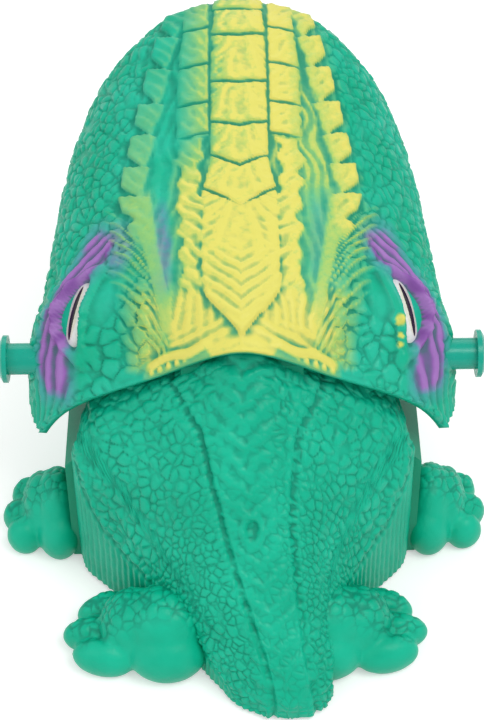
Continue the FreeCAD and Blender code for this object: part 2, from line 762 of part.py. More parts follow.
def lower_jaw():
    half, bow, high = dim.jaw_half_width, dim.jaw_bow_y, dim.jaw_high
    back = dim.housing_front
    chamfer = dim.jaw_chamfer
    upper = jaw_form(half, bow, back, chamfer, high)
    foot_cone = common(cone(half - chamfer, half, chamfer, (0, bow, 0)),
                       block((-half, bow - half, 0), (half, bow + 1, chamfer)))
    rear = new_body("JawKeel")
    keel = sketch(rear, "XZ", -back)
    polygon(keel, ((chamfer - half, 0), (half - chamfer, 0), (half, chamfer), (-half, chamfer)))
    pad(rear, keel, back - bow)
    wall = dim.wall
    hollow = jaw_form(half - wall, bow, back - wall, chamfer, high + 1)
    hollow_low = jaw_form(half - wall - chamfer, bow, back - wall, wall, chamfer + 1)
    gear_room = block((dim.plate_inner_x - 2, back - wall - 1, dim.plate_low - 3),
                      (dim.plate_outer_x + 2, back + 1, high + 1))
    drain = cylinder(dim.drain_radius + dim.move_gap, wall + 4, (0, bow - half - 1, dim.drain_z), "y")
    shell = cut(fuse(upper, foot_cone, rear), hollow, hollow_low, gear_room, drain)
    posts = [cylinder(dim.post_radius, dim.tray_floor - wall + 0.5, (x, y, wall - 0.5))
             for x in (-dim.post_x, dim.post_x) for y in (bow - 22, bow)]
    node(fuse(shell, *posts), "jaw_shell")


def tray():
    gap = dim.wall + dim.tray_margin
    half, bow, back = dim.jaw_half_width - gap, dim.jaw_bow_y, dim.tray_back
    wall = dim.tray_wall
    outer = jaw_form(half, bow, back, dim.tray_floor, dim.tray_high)
    inner = jaw_form(half - wall, bow, back - wall, dim.tray_floor + wall, dim.tray_high + 1)
    drain = cylinder(dim.drain_radius, wall + 4, (0, bow - half - 1, dim.drain_z), "y")
    node(cut(outer, inner, drain), "solution_tray")


def drain_plug():
    """A rubber plug through the front of the jaw into the tray."""
    face = dim.jaw_bow_y - dim.jaw_half_width
    length = dim.wall + dim.tray_margin + dim.tray_wall + 1
    stem = cylinder(dim.drain_radius - dim.run_gap, length, (0, face, dim.drain_z), "y")
    head = cylinder(dim.drain_head_radius, dim.drain_head_thick,
                    (0, face - dim.drain_head_thick - dim.seat_gap, dim.drain_z), "y")
    neck = cylinder(dim.drain_radius - dim.run_gap, dim.seat_gap + 1, (0, face - dim.seat_gap - 1, dim.drain_z), "y")
    node(fuse(stem, head, neck), "drain_plug")


# --- gears and shafts ---------------------------------------------------------

def add_gear(body, teeth, start, thick, phase):
    """Add a spur gear about the body's Y axis; start is the place along -Y."""
    module = dim.tooth_module
    root = (teeth / 2 - 1.2) * module
    tip = (teeth / 2 + 0.85) * module
    disc = sketch(body, "XZ", start)
    circle(disc, 0, 0, root)
    pad(body, disc, thick)
    profile = sketch(body, "XZ", start, phase)
    foot_half, tip_half = module * 0.98, module * 0.34
    polygon(profile, ((root - module * 0.3, -foot_half), (root + module * 0.25, -foot_half * 0.97), (tip, -tip_half),
                      (tip, tip_half), (root + module * 0.25, foot_half * 0.97), (root - module * 0.3, foot_half)))
    tooth = pad(body, profile, thick)
    doc.recompute()
    polar(body, tooth, profile, teeth)
    doc.recompute()


def bore(body, start, length, radius):
    """Cut a hole along the body's Y axis."""
    hole = sketch(body, "XZ", start)
    circle(hole, 0, 0, radius)
    pocket(body, hole, length, back=True)


def gear_phase(teeth, direction):
    """Turn a gear so that a gap between two teeth faces this direction, in degrees."""
    return direction + 180.0 / teeth


wheel_teeth, pinion_teeth = dim.wheel_teeth, dim.pinion_teeth
gear_distance = (dim.wheel_teeth + dim.pinion_teeth) * dim.tooth_module / 2
wheel_z = dim.motor_z - gear_distance
plate_rear = -dim.housing_front
layers = [plate_rear + dim.plate_thick + 0.8 + dim.gear_step * number for number in range(3)]
plate_front = plate_rear + dim.plate_thick + 0.8 + dim.gear_step * 3
fan_start = plate_front + dim.plate_thick
nozzle_start = fan_start + dim.fan_case_depth
wand_start = nozzle_start + dim.nozzle_length + dim.wand_gap


def gears():
    """Motor pinion, two compound gears and the output gear, in mesh at rest."""
    thick = dim.gear_thick
    wheel, pinion = wheel_teeth, pinion_teeth
    free = dim.axle_radius + dim.run_gap

    body = new_body("MotorPinion")
    add_gear(body, pinion, layers[0], thick, 0.0)
    bore(body, layers[0] - 1, thick + 2, dim.motor_shaft_radius)
    node(place(body, 0, 0, dim.motor_z), "motor_pinion")

    body = new_body("FirstGear")
    add_gear(body, wheel, layers[0], thick, gear_phase(wheel.value, 180))
    add_gear(body, pinion, layers[0] + thick - 0.2, dim.gear_step + 0.2, 270.0)
    bore(body, layers[0] - 1, thick * 3, free)
    node(place(body, gear_distance, 0, dim.motor_z), "first_gear")

    body = new_body("SecondGear")
    add_gear(body, wheel, layers[1], thick, gear_phase(wheel.value, 90))
    add_gear(body, pinion, layers[1] + thick - 0.2, dim.gear_step + 0.2, 180.0)
    bore(body, layers[1] - 1, thick * 3, free)
    node(place(body, gear_distance, 0, wheel_z), "second_gear")

    body = new_body("OutputGear")
    add_gear(body, wheel, layers[2], thick, gear_phase(wheel.value, 0))
    bore(body, layers[2] - 1, thick + 2, dim.axle_radius)
    node(place(body, 0, 0, wheel_z), "output_gear")


def along_y(radius, start, end, x, z):
    """A cylinder between two places along -Y."""
    return cylinder(radius, end - start, (x, -end, z), "y")


def gearbox():
    corners = [(x, z) for x in (dim.plate_inner_x + dim.plate_margin, dim.plate_outer_x - dim.plate_margin)
               for z in (dim.plate_low + dim.plate_margin, dim.plate_high - dim.plate_margin)]
    axles = [(gear_distance, dim.motor_z), (gear_distance, wheel_z)]
    for label, start in (("gearbox_rear_plate", plate_rear), ("gearbox_front_plate", plate_front)):
        end = start + dim.plate_thick
        plate = block((dim.plate_inner_x, -end, dim.plate_low), (dim.plate_outer_x, -start, dim.plate_high))
        holes = [along_y(dim.screw_radius, start - 1, end + 1, x, z) for x, z in corners]
        holes += [along_y(dim.axle_radius, start - 1, end + 1, x, z) for x, z in axles]
        holes.append(along_y(dim.axle_radius + 1.5, start - 1, end + 1, 0, wheel_z))
        shaft_hole = dim.motor_shaft_radius + 2 if label == "gearbox_rear_plate" else dim.motor_shaft_radius + 3
        holes.append(along_y(shaft_hole, start - 1, end + 1, 0, dim.motor_z))
        node(cut(plate, *holes), label)
    start, end = plate_rear + dim.plate_thick, plate_front
    node(group([cut(along_y(dim.spacer_radius, start, end, x, z),
                    along_y(dim.screw_radius, start, end, x, z)) for x, z in corners]), "gearbox_spacers")
    node(group([along_y(dim.axle_radius, plate_rear, plate_front + dim.plate_thick, x, z)
                for x, z in axles]), "gear_axles")
    made = []
    for x, z in corners:
        head_start = plate_front + dim.plate_thick
        made.append(fuse(along_y(dim.screw_radius, plate_rear, head_start, x, z),
                         along_y(dim.screw_head_radius, head_start, head_start + dim.screw_head_thick, x, z)))
    node(group(made), "gearbox_screws")
    bushes = []
    for start in (plate_rear, plate_front):
        bushes.append(cut(along_y(dim.axle_radius + 1.5, start, start + dim.plate_thick, 0, wheel_z),
                          along_y(dim.axle_radius + dim.run_gap, start - 1, start + dim.plate_thick + 1, 0, wheel_z)))
    node(group(bushes), "wheel_bushes")


def motor():
    can_start = plate_rear - dim.motor_length
    can = along_y(dim.motor_radius, can_start, plate_rear, 0, dim.motor_z)
    cap = along_y(dim.motor_radius - 0.6, can_start - dim.motor_cap_length, can_start, 0, dim.motor_z)
    free = dim.motor_shaft_radius + dim.run_gap
    node(cut(can, along_y(free, can_start - 1, plate_rear + 1, 0, dim.motor_z)), "motor_can")
    node(cut(cap, along_y(free, can_start - 1, can_start + 1, 0, dim.motor_z)), "motor_end_cap")
    node(along_y(dim.motor_shaft_radius, can_start + 0.2, fan_start + dim.fan_depth, 0, dim.motor_z), "motor_shaft")


def fan():
    """Impeller: a back disc, a hub and a ring of pitched blades, in a round housing."""
    start = fan_start + 1.2
    body = new_body("Impeller")
    hub = sketch(body, "XZ", start)
    circle(hub, 0, 0, dim.motor_shaft_radius + 3)
    pad(body, hub, dim.fan_depth - 1.2)
    disc = sketch(body, "XZ", start)
    circle(disc, 0, 0, dim.fan_radius)
    pad(body, disc, 1.2)
    doc.recompute()
    blade = sketch(body, "XZ", start)
    inner, outer, thick = dim.motor_shaft_radius + 2, dim.fan_radius, 0.6
    polygon(blade, ((inner, -thick), (outer * 0.6, 1.2), (outer - 0.3, 4.2), (outer - 1, 5.2),
                    (outer * 0.6, 2.6), (inner, thick)))
    wing = pad(body, blade, dim.fan_depth - 1.2)
    doc.recompute()
    polar(body, wing, blade, dim.fan_blades)
    doc.recompute()
    bore(body, start - 1, dim.fan_depth + 2, dim.motor_shaft_radius)
    node(place(body, 0, 0, dim.motor_z), "fan_impeller")

    end = fan_start + dim.fan_case_depth
    case = along_y(dim.fan_case_radius, fan_start, end, 0, dim.motor_z)
    room = along_y(dim.fan_case_radius - dim.wall + 0.6, fan_start - 1, end - 1.6, 0, dim.motor_z)
    mouth = along_y(dim.nozzle_radius + 4, end - 3, end + 1, 0, dim.motor_z)
    slots = []
    for number in range(6):
        spot = math.radians(60 * number)
        reach = dim.fan_case_radius
        slots.append(cylinder(2.6, 8, (reach * math.cos(spot) - 4 * math.cos(spot), -fan_start - 5,
                                       dim.motor_z + reach * math.sin(spot) - 4 * math.sin(spot)), "y"))
    node(cut(case, room, mouth, *slots), "fan_housing")

    funnel_end = nozzle_start + dim.nozzle_length
    outer_cone = cone(dim.nozzle_radius + 1.6, dim.nozzle_radius + 6, dim.nozzle_length,
                      (0, -funnel_end, dim.motor_z), "y")
    inner_cone = cone(dim.nozzle_radius, dim.nozzle_radius + 4, dim.nozzle_length,
                      (0, -funnel_end, dim.motor_z), "y")
    node(cut(outer_cone, inner_cone), "air_nozzle")


def wand_wheel():
    """A hub with rings on arms; the top ring faces the nozzle."""
    body = new_body("WandWheel")
    hub = sketch(body, "XZ", wand_start)
    circle(hub, 0, 0, dim.wand_hub_radius)
    pad(body, hub, dim.wand_thick)
    doc.recompute()
    ring = sketch(body, "XZ", wand_start)
    circle(ring, 0, gear_distance, dim.wand_radius)
    circle(ring, 0, gear_distance, dim.wand_radius - dim.wand_band)
    hoop = pad(body, ring, dim.wand_thick)
    doc.recompute()
    polar(body, hoop, ring, dim.wand_count)
    doc.recompute()
    arm = sketch(body, "XZ", wand_start)
    half = 1.6
    polygon(arm, ((-half, dim.wand_hub_radius - 1), (half, dim.wand_hub_radius - 1),
                  (half, gear_distance - dim.wand_radius + 1), (-half, gear_distance - dim.wand_radius + 1)))
    spoke = pad(body, arm, dim.wand_thick)
    doc.recompute()
    polar(body, spoke, arm, dim.wand_count)
    doc.recompute()
    bore(body, wand_start - 1, dim.wand_thick + 2, dim.axle_radius)
    node(place(body, 0, 0, wheel_z), "wand_wheel")
    node(along_y(dim.axle_radius, plate_rear + 0.3, wand_start + dim.wand_thick, 0, wheel_z), "wheel_shaft")


# --- power --------------------------------------------------------------------

def box_reach():
    """Half length of the battery box's room along X, and the two ends of the room along Y."""
    middle = (dim.housing_front + dim.housing_back) / 2
    half = dim.cell_pitch * dim.cell_count / 2
    return dim.cell_length / 2 + dim.contact_room, middle - half, middle + half


def battery_box():
    """A box open below, with its cells lying side by side along X."""
    x, y0, y1 = box_reach()
    wall, low = dim.box_wall, dim.floor_gap + dim.wall
    cell_z = dim.floor_gap + dim.door_thick + dim.cell_radius + dim.seat_gap
    top = cell_z + dim.cell_radius + dim.move_gap
    outer = block((-x - wall, y0 - wall, low), (x + wall, y1 + wall, top + wall))
    room = block((-x, y0, low - 1), (x, y1, top))
    node(cut(outer, room), "battery_box")
    cells, plates, springs = [], [], []
    for number in range(int(dim.cell_count.value)):
        y = y0 + dim.cell_pitch * (number + 0.5)
        half = dim.cell_length / 2
        cells.append(cylinder(dim.cell_radius, dim.cell_length, (-half, y, cell_z), "x"))
        for start in (-x, x - dim.contact_thick):
            plates.append(block((start, y - 5, cell_z - 5), (start + dim.contact_thick, y + 5, cell_z + 5)))
        plates[-1] = fuse(plates[-1], cylinder(2.7, dim.contact_room - dim.contact_thick, (half, y, cell_z), "x"))
        springs.append(cut(cylinder(4, dim.contact_room - dim.contact_thick, (dim.contact_thick - x, y, cell_z), "x"),
                           cylinder(3.2, dim.contact_room, (-x, y, cell_z), "x")))
    node(group(cells), "battery_cells")
    node(group(plates), "contact_plates")
    node(group(springs), "contact_springs")


def battery_door():
    x, y0, y1 = box_reach()
    gap, edge, low = dim.seat_gap, dim.door_edge, dim.floor_gap
    plate = block((gap - x - edge, y0 - edge + gap, low), (x + edge - gap, y1 + edge - gap, low + dim.door_thick))
    screw_y = y0 - dim.door_edge / 2
    hole = cylinder(dim.screw_radius - 0.4, dim.door_thick + 2, (0, screw_y, low - 1))
    node(cut(plate, hole), "battery_door")
    node(cylinder(dim.screw_radius - 0.4, dim.door_thick, (0, screw_y, low)), "door_screw")


def switch_reach():
    """Half the length of the slot that the switch knob runs in."""
    return (dim.knob_length + dim.switch_travel) / 2 + dim.seat_gap


def power_switch():
    """A slide switch inside the left wall; its knob runs in the slot."""
    face = dim.housing_half_width - dim.wall
    reach, knob_half, gap = switch_reach(), dim.knob_high / 2, dim.seat_gap
    case = block((face - 7, dim.switch_y - reach - 2, dim.switch_z - knob_half - 2),
                 (face, dim.switch_y + reach + 2, dim.switch_z + knob_half + 2))
    track = block((face - 3, dim.switch_y - reach, dim.switch_z - knob_half - gap),
                  (face + 1, dim.switch_y + reach, dim.switch_z + knob_half + gap))
    node(cut(case, track), "switch_body")
    start = dim.switch_y - reach + gap
    node(block((face - 3 + gap, start, dim.switch_z - knob_half),
               (dim.housing_half_width + 1.6, start + dim.knob_length, dim.switch_z + knob_half)), "switch_knob")


# --- pegs ---------------------------------------------------------------------

def pegs():
    """A domed flange on a shaft that is pressed into the boss of the housing."""
    length = peg_end - boss_end + dim.peg_depth
    for side, label in ((1, "pivot_peg_left"), (-1, "pivot_peg_right")):
        flange, thick = dim.peg_flange_radius, dim.peg_flange_thick
        body = turned("Peg", ((0, 0), (dim.peg_radius, 0), (dim.peg_radius, length - thick),
                              (flange, length - thick), (flange, length - thick * 0.45),
                              (flange * 0.8, length - thick * 0.12), (flange * 0.45, length), (0, length)))
        turn = TURNS["x"] if side > 0 else Rotation(Vector(0, 1, 0), -90)
        start = boss_end - dim.peg_depth
        node(place(body, start * side, dim.pivot_y, dim.pivot_z, turn), label)


# --- the whole ----------------------------------------------------------------

head_shell()
eyes()
palate()
tooth_row("upper_teeth", dim.upper_teeth_count, dim.tooth_ring_radius, dim.tooth_ring_y,
          dim.palate_z - 2.4, -dim.tooth_length)
inner_housing()
base_plate()
screws(base_screw_places(), dim.floor_gap, dim.wall + 10, "base_screws")
torso_form = torso()
for side, name in ((1, "left"), (-1, "right")):
    foot("front_%s_foot" % name, side, dim.front_foot_y, dim.front_foot_width, dim.front_foot_high,
         dim.housing_half_width, dim.housing_half_width + dim.front_foot_reach)
    foot("rear_%s_foot" % name, side, dim.rear_foot_y, dim.rear_foot_width, dim.rear_foot_high,
         dim.rear_foot_start, dim.rear_foot_end, torso_form)
lower_jaw()
tray()
tooth_row("lower_teeth", dim.lower_teeth_count, dim.jaw_half_width - dim.tooth_radius - 1, dim.jaw_bow_y,
          dim.jaw_high, dim.tooth_length)
drain_plug()
gearbox()
gears()
motor()
fan()
wand_wheel()
battery_box()
battery_door()
power_switch()
pegs()
doc.recompute()

bad = [item.Name for item in doc.Objects if "Invalid" in item.State or "Error" in item.State]
bad += [item.Label for item in nodes if item.Shape.isNull() or not item.Shape.isValid()]
if bad:
    raise SystemExit("failed objects: " + ", ".join(bad))

os.makedirs("parts", exist_ok=True)
for item in nodes:
    item.Shape.exportStep(os.path.join("parts", item.Label + ".step"))
print(len(nodes), "nodes")
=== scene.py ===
import itertools
import json
import math

import bmesh
import bpy
import numpy as np
from mathutils import Matrix, Vector

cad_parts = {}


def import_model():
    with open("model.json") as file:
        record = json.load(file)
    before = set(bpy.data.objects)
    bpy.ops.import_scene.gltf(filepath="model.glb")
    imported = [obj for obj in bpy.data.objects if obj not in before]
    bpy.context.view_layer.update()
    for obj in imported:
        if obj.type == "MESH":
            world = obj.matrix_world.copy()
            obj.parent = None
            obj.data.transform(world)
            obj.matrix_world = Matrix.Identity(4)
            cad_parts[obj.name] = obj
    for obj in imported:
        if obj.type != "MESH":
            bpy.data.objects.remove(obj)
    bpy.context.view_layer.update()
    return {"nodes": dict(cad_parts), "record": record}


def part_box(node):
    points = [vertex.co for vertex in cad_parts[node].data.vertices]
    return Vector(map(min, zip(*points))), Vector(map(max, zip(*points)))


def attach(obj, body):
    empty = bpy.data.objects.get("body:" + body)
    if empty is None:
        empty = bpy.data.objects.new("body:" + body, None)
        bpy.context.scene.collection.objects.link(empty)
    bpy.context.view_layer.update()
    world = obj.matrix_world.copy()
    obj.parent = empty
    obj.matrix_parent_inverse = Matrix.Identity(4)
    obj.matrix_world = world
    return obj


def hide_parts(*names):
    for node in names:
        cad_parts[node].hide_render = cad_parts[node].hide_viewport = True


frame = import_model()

MM = 0.001


# --- places taken from the frame ----------------------------------------------

def middle(node):
    """Centre of a CAD node's box, in millimetres."""
    low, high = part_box(node)
    return [(a + b) / 2 / MM for a, b in zip(low, high)]


def corners(node):
    """Low and high corner of a CAD node's box, in millimetres to the nearest tenth."""
    return [[round(value / MM, 1) for value in corner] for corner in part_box(node)]


HEAD_FRONT = corners("head_shell")[0][1]
HEAD_LENGTH = 179.0                         # of the form, before the rim cuts it
HEAD_HALF, HEAD_LOW, HEAD_HIGH = 79.0, 54.0, 106.0
TORSO_FRONT = corners("torso_shell")[0][1]
TORSO_LENGTH = corners("torso_shell")[1][1] - TORSO_FRONT
TORSO_TUCK, TUCK_RISE = 13.5, 0.45          # how far its top runs on under the head, and its slope
TORSO_HALF = corners("torso_shell")[1][0]
TORSO_HIGH, TAIL_SWING = 113.0, 16.0
JAW_HALF = corners("jaw_shell")[1][0]       # also the radius of its bow
JAW_BOW = corners("jaw_shell")[0][1] + JAW_HALF
JAW_INSET = 0.2                             # of the jaw's skin from its rear and upper edge
JAW_BACK, JAW_HIGH = (round(edge - JAW_INSET, 1) for edge in corners("jaw_shell")[1][1:])
JAW_CHAMFER = 10.0
DRAIN_Z = round(middle("drain_plug")[2], 1)
FLOOR_GAP = 2.0
SKIN_WALL, JAW_SKIN_WALL = 2.2, 0.2
LINER_STEP = 4                              # the inner face of a moulding has every fourth point
RIM_TOP, CHEEK, MOUTH, LIP_FRONT = (52.0, 122.0), (40.0, 68.0), (-12.0, 74.0), (-126.0, 86.0)
# The opening between the left lids: its middle, from that of the CAD eye, its direction
# towards the rear corner and the direction across it, inwards.
EYE = np.round(middle("eye_left"), 1) + (-1.9, 2.3, 4.0)
EYE_LONG = np.array([0.265, 0.712, -0.650])
EYE_ACROSS = np.array([-0.587, 0.633, 0.455])

# Sections, front to rear: place along, crown, shoulder, side and base, as shares of the
# half width and height.
HEAD_FORM = (
    (0.000, 0.640, 0.09, 0.63, 0.15, 0.50, 0.12, 0.34),
    (0.028, 0.850, 0.20, 0.79, 0.36, 0.56, 0.32, 0.26),
    (0.073, 0.960, 0.31, 0.89, 0.54, 0.60, 0.50, 0.25),
    (0.145, 0.995, 0.42, 0.91, 0.70, 0.60, 0.66, 0.25),
    (0.257, 0.962, 0.50, 0.86, 0.80, 0.56, 0.77, 0.24),
    (0.400, 0.900, 0.56, 0.79, 0.86, 0.52, 0.84, 0.22),
    (0.540, 0.835, 0.59, 0.73, 0.89, 0.49, 0.88, 0.20),
    (0.676, 0.775, 0.60, 0.68, 0.92, 0.45, 0.94, 0.12),
    (0.790, 0.725, 0.60, 0.62, 0.95, 0.41, 1.01, 0.05),
    (0.900, 0.675, 0.45, 0.51, 0.84, 0.29, 1.02, 0.00),
    (1.000, 0.615, 0.42, 0.43, 0.82, 0.20, 1.02, -0.02),
)
# The same for the torso and tail, with the share of the tail's swing.
TORSO_FORM = (
    (0.00, 0.990, 0.36, 0.88, 0.81, 0.70, 1.00, 0.57, 0.00),
    (0.10, 0.930, 0.36, 0.82, 0.77, 0.62, 0.96, 0.47, 0.00),
    (0.21, 0.840, 0.35, 0.75, 0.69, 0.54, 0.84, 0.32, 0.02),
    (0.36, 0.700, 0.35, 0.62, 0.57, 0.43, 0.67, 0.25, 0.08),
    (0.51, 0.560, 0.29, 0.50, 0.45, 0.35, 0.52, 0.20, 0.20),
    (0.67, 0.415, 0.23, 0.37, 0.36, 0.26, 0.41, 0.15, 0.42),
    (0.83, 0.275, 0.19, 0.24, 0.29, 0.17, 0.33, 0.09, 0.68),
    (0.94, 0.175, 0.14, 0.15, 0.22, 0.10, 0.25, 0.05, 0.88),
    (1.00, 0.100, 0.08, 0.09, 0.12, 0.06, 0.13, 0.04, 1.00),
)


# --- fields on points: steps, noise, cells -------------------------------------

def step(low, high, x):
    """Smooth step from 0 to 1; works downwards too when low is above high."""
    t = np.clip((x - low) / (high - low), 0, 1)
    return t * t * (3 - 2 * t)


def hump(x, centre, half):
    """A rounded hump of height 1 at centre, 0 beyond half."""
    return np.clip(1 - ((x - centre) / half) ** 2, 0, 1)


def scatter(cell, seed):
    """Repeatable random number from 0 to 1 for each whole-number cell."""
    mixed = cell @ np.array([127.1, 311.7, 74.7]) + seed * 19.19
    return np.modf(np.abs(np.sin(mixed) * 43758.5453))[0]


def noise(points, size, seed=0):
    """Smooth noise from -1 to 1 with features of this size."""
    q = points / size
    base = np.floor(q)
    part = q - base
    part = part * part * (3 - 2 * part)
    total = 0
    for corner in itertools.product((0, 1), repeat=3):
        shares = [part[..., i] if c else 1 - part[..., i] for i, c in enumerate(corner)]
        total = total + np.prod(shares, axis=0) * scatter(base + np.array(corner), seed)
    return total * 2 - 1


def layered(points, size, seed=0, layers=3):
    """Noise with finer layers added."""
    total = sum(noise(points, size / 2 ** n, seed + n) / 2 ** n for n in range(layers))
    return total / (2 - 0.5 ** (layers - 1))


def cells(points, size, seed=0):
    """Distances to the nearest and second nearest of a jittered set of points, and a number per cell."""
    q = points / size
    base = np.floor(q)
    near = np.full(q.shape[:-1], 9.0)
    second, tag = near.copy(), near * 0
    for corner in itertools.product((-1, 0, 1), repeat=3):
        cell = base + np.array(corner)
        spot = cell + np.stack([scatter(cell, seed + n) for n in (1, 2, 3)], axis=-1)
        gap = np.linalg.norm(spot - q, axis=-1)
        closer = gap < near
        second = np.where(closer, near, np.minimum(second, gap))
        tag = np.where(closer, scatter(cell, seed + 4), tag)
        near = np.where(closer, gap, near)
    return near, second, tag


def pebbles(points, size, seed=0, edge=0.35):
    """Rounded scales with grooves between: height from 0 to 1."""
    near, second, tag = cells(points, size, seed)
    return step(0.0, edge, second - near) * (0.75 + 0.25 * tag)


# --- forms ---------------------------------------------------------------------

def through(values, places, at):
    """A smooth curve through rows of values at their places, read at other places."""
    places, values = np.asarray(places, float), np.asarray(values, float)
    slope = np.gradient(values, places, axis=0)
    i = np.clip(np.searchsorted(places, at) - 1, 0, len(places) - 2)
    width = places[i + 1] - places[i]
    t = ((at - places[i]) / width)[:, None]
    w = width[:, None]
    a, b = values[i], values[i + 1]
    return ((2 * t**3 - 3 * t**2 + 1) * a + (t**3 - 2 * t**2 + t) * w * slope[i]
            + (3 * t**2 - 2 * t**3) * b + (t**3 - t**2) * w * slope[i + 1])


def arch_points(row, half, low, high, swing=0.0):
    """The seven points of a section, left base over the crown to right base, as (x, z)."""
    crown, sx, sz, dx, dz, bx, bz = row[:7]
    side = [(bx * half, low + bz * high), (dx * half, low + dz * high), (sx * half, low + sz * high)]
    points = side + [(0.0, low + crown * high)] + [(-x, z) for x, z in side[::-1]]
    return np.array([(x - swing, z) for x, z in points])


def smooth_arch(points, count):
    """The section as a smooth curve of count points."""
    reach = np.concatenate([[0], np.cumsum(np.linalg.norm(np.diff(points, axis=0), axis=1))])
    return through(points, reach, np.linspace(0, reach[-1], count))


def even(curve, count):
    """The same curve with points spread evenly along it."""
    reach = np.concatenate([[0], np.cumsum(np.linalg.norm(np.diff(curve, axis=0), axis=1))])
    at = np.linspace(0, reach[-1], count)
    return np.stack([np.interp(at, reach, curve[:, n]) for n in range(curve.shape[1])], axis=1)


def lip_height(y):
    """Lower edge of the head along its length."""
    return np.interp(y, (LIP_FRONT[0], MOUTH[0], CHEEK[0] - 24, CHEEK[0]),
                     (LIP_FRONT[1], MOUTH[1], CHEEK[1] - 4, CHEEK[1]))


def head_surface(rows, columns):
    """Points of the head's outer form from the snout to the rim, each row from left lip to right lip."""
    table = np.array(HEAD_FORM)
    ys = np.linspace(HEAD_FRONT, HEAD_FRONT + HEAD_LENGTH * 0.99, 500)
    looked = through(table[:, 1:], table[:, 0], (ys - HEAD_FRONT) / HEAD_LENGTH)
    sheet = np.zeros((len(ys), columns, 3))
    for n, (y, row) in enumerate(zip(ys, looked)):
        curve = smooth_arch(arch_points(row, HEAD_HALF, HEAD_LOW, HEAD_HIGH), 160)
        lip = lip_height(y)
        keep = np.flatnonzero(curve[:, 1] >= lip)
        first, last = keep[0], keep[-1]
        inner = curve[first:last + 1]
        if first > 0:
            t = (lip - curve[first - 1, 1]) / (curve[first, 1] - curve[first - 1, 1])
            inner = np.vstack([curve[first - 1] + t * (curve[first] - curve[first - 1]), inner])
            inner = np.vstack([inner, inner[0] * (-1, 1)])
        outline = even(inner, columns)
        sheet[n, :, 0], sheet[n, :, 1], sheet[n, :, 2] = outline[:, 0], y, outline[:, 1]
    (y1, z1), (y0, z0) = RIM_TOP, CHEEK
    beyond = (sheet[..., 1] - y0) - (sheet[..., 2] - z0) * (y1 - y0) / (z1 - z0)
    ends = np.array([ys[-1] if beyond[-1, c] < 0 else
                     np.interp(0, beyond[300:, c], ys[300:]) for c in range(columns)])
    share = np.linspace(0, 1, rows) ** 0.92
    grid = np.zeros((rows, columns, 3))
    for c in range(columns):
        at = HEAD_FRONT + share * (ends[c] - HEAD_FRONT)
        grid[:, c] = np.stack([np.interp(at, ys, sheet[:, c, n]) for n in range(3)], axis=1)
    return grid


def torso_surface(rows, columns):
    """Points of the torso and tail, each row from the left floor edge over the back to the right.

    Above the housing the front edge runs on under the head."""
    table = np.array(TORSO_FORM)
    ys = np.linspace(TORSO_FRONT - TORSO_TUCK, TORSO_FRONT + TORSO_LENGTH, 300)
    looked = through(table[:, 1:], table[:, 0], np.maximum(ys - TORSO_FRONT, 0) / TORSO_LENGTH)
    sheet = np.zeros((len(ys), columns, 3))
    for n, (y, row) in enumerate(zip(ys, looked)):
        arch = smooth_arch(arch_points(row, TORSO_HALF, 0.0, TORSO_HIGH, row[7] * TAIL_SWING), 120)
        foot_left = np.array([[arch[0, 0], FLOOR_GAP]])
        foot_right = np.array([[arch[-1, 0], FLOOR_GAP]])
        outline = even(np.vstack([foot_left, arch, foot_right]), columns)
        sheet[n] = np.stack([outline[:, 0], np.full(columns, y), outline[:, 1]], axis=1)
        tuck = max(TORSO_FRONT - y, 0) * step(66, 76, outline[:, 1])
        sheet[n, :, 2] += TUCK_RISE * tuck * step(108, 90, outline[:, 1])
    front_high = sheet[np.searchsorted(ys, TORSO_FRONT), :, 2]
    begin = TORSO_FRONT - TORSO_TUCK * step(66.5, 74, front_high)
    grid = np.zeros((rows, columns, 3))
    for c in range(columns):
        at = begin[c] + np.linspace(0, 1, rows) * (ys[-1] - begin[c])
        grid[:, c] = np.stack([np.interp(at, ys, sheet[:, c, n]) for n in range(3)], axis=1)
    return grid


def outward(grid):
    """Unit normals of a grid of points."""
    along = np.gradient(grid, axis=0)
    around = np.gradient(grid, axis=1)
    normal = np.cross(along, around)
    normal /= np.maximum(np.linalg.norm(normal, axis=-1, keepdims=True), 1e-9)
    return normal


def capped(grid, centre, rows, bulge, at_start):
    """The grid with rows added that close one end: a dome from the outline to a centre point."""
    outline = grid[0] if at_start else grid[-1]
    share = np.linspace(0.02, 1, rows, endpoint=False)[:, None, None] ** 0.75
    dome = centre + (outline - centre) * share
    dome[..., 1] += bulge * np.sqrt(1 - share[..., 0] ** 2)
    return np.vstack([dome, grid]) if at_start else np.vstack([grid, dome[::-1]])


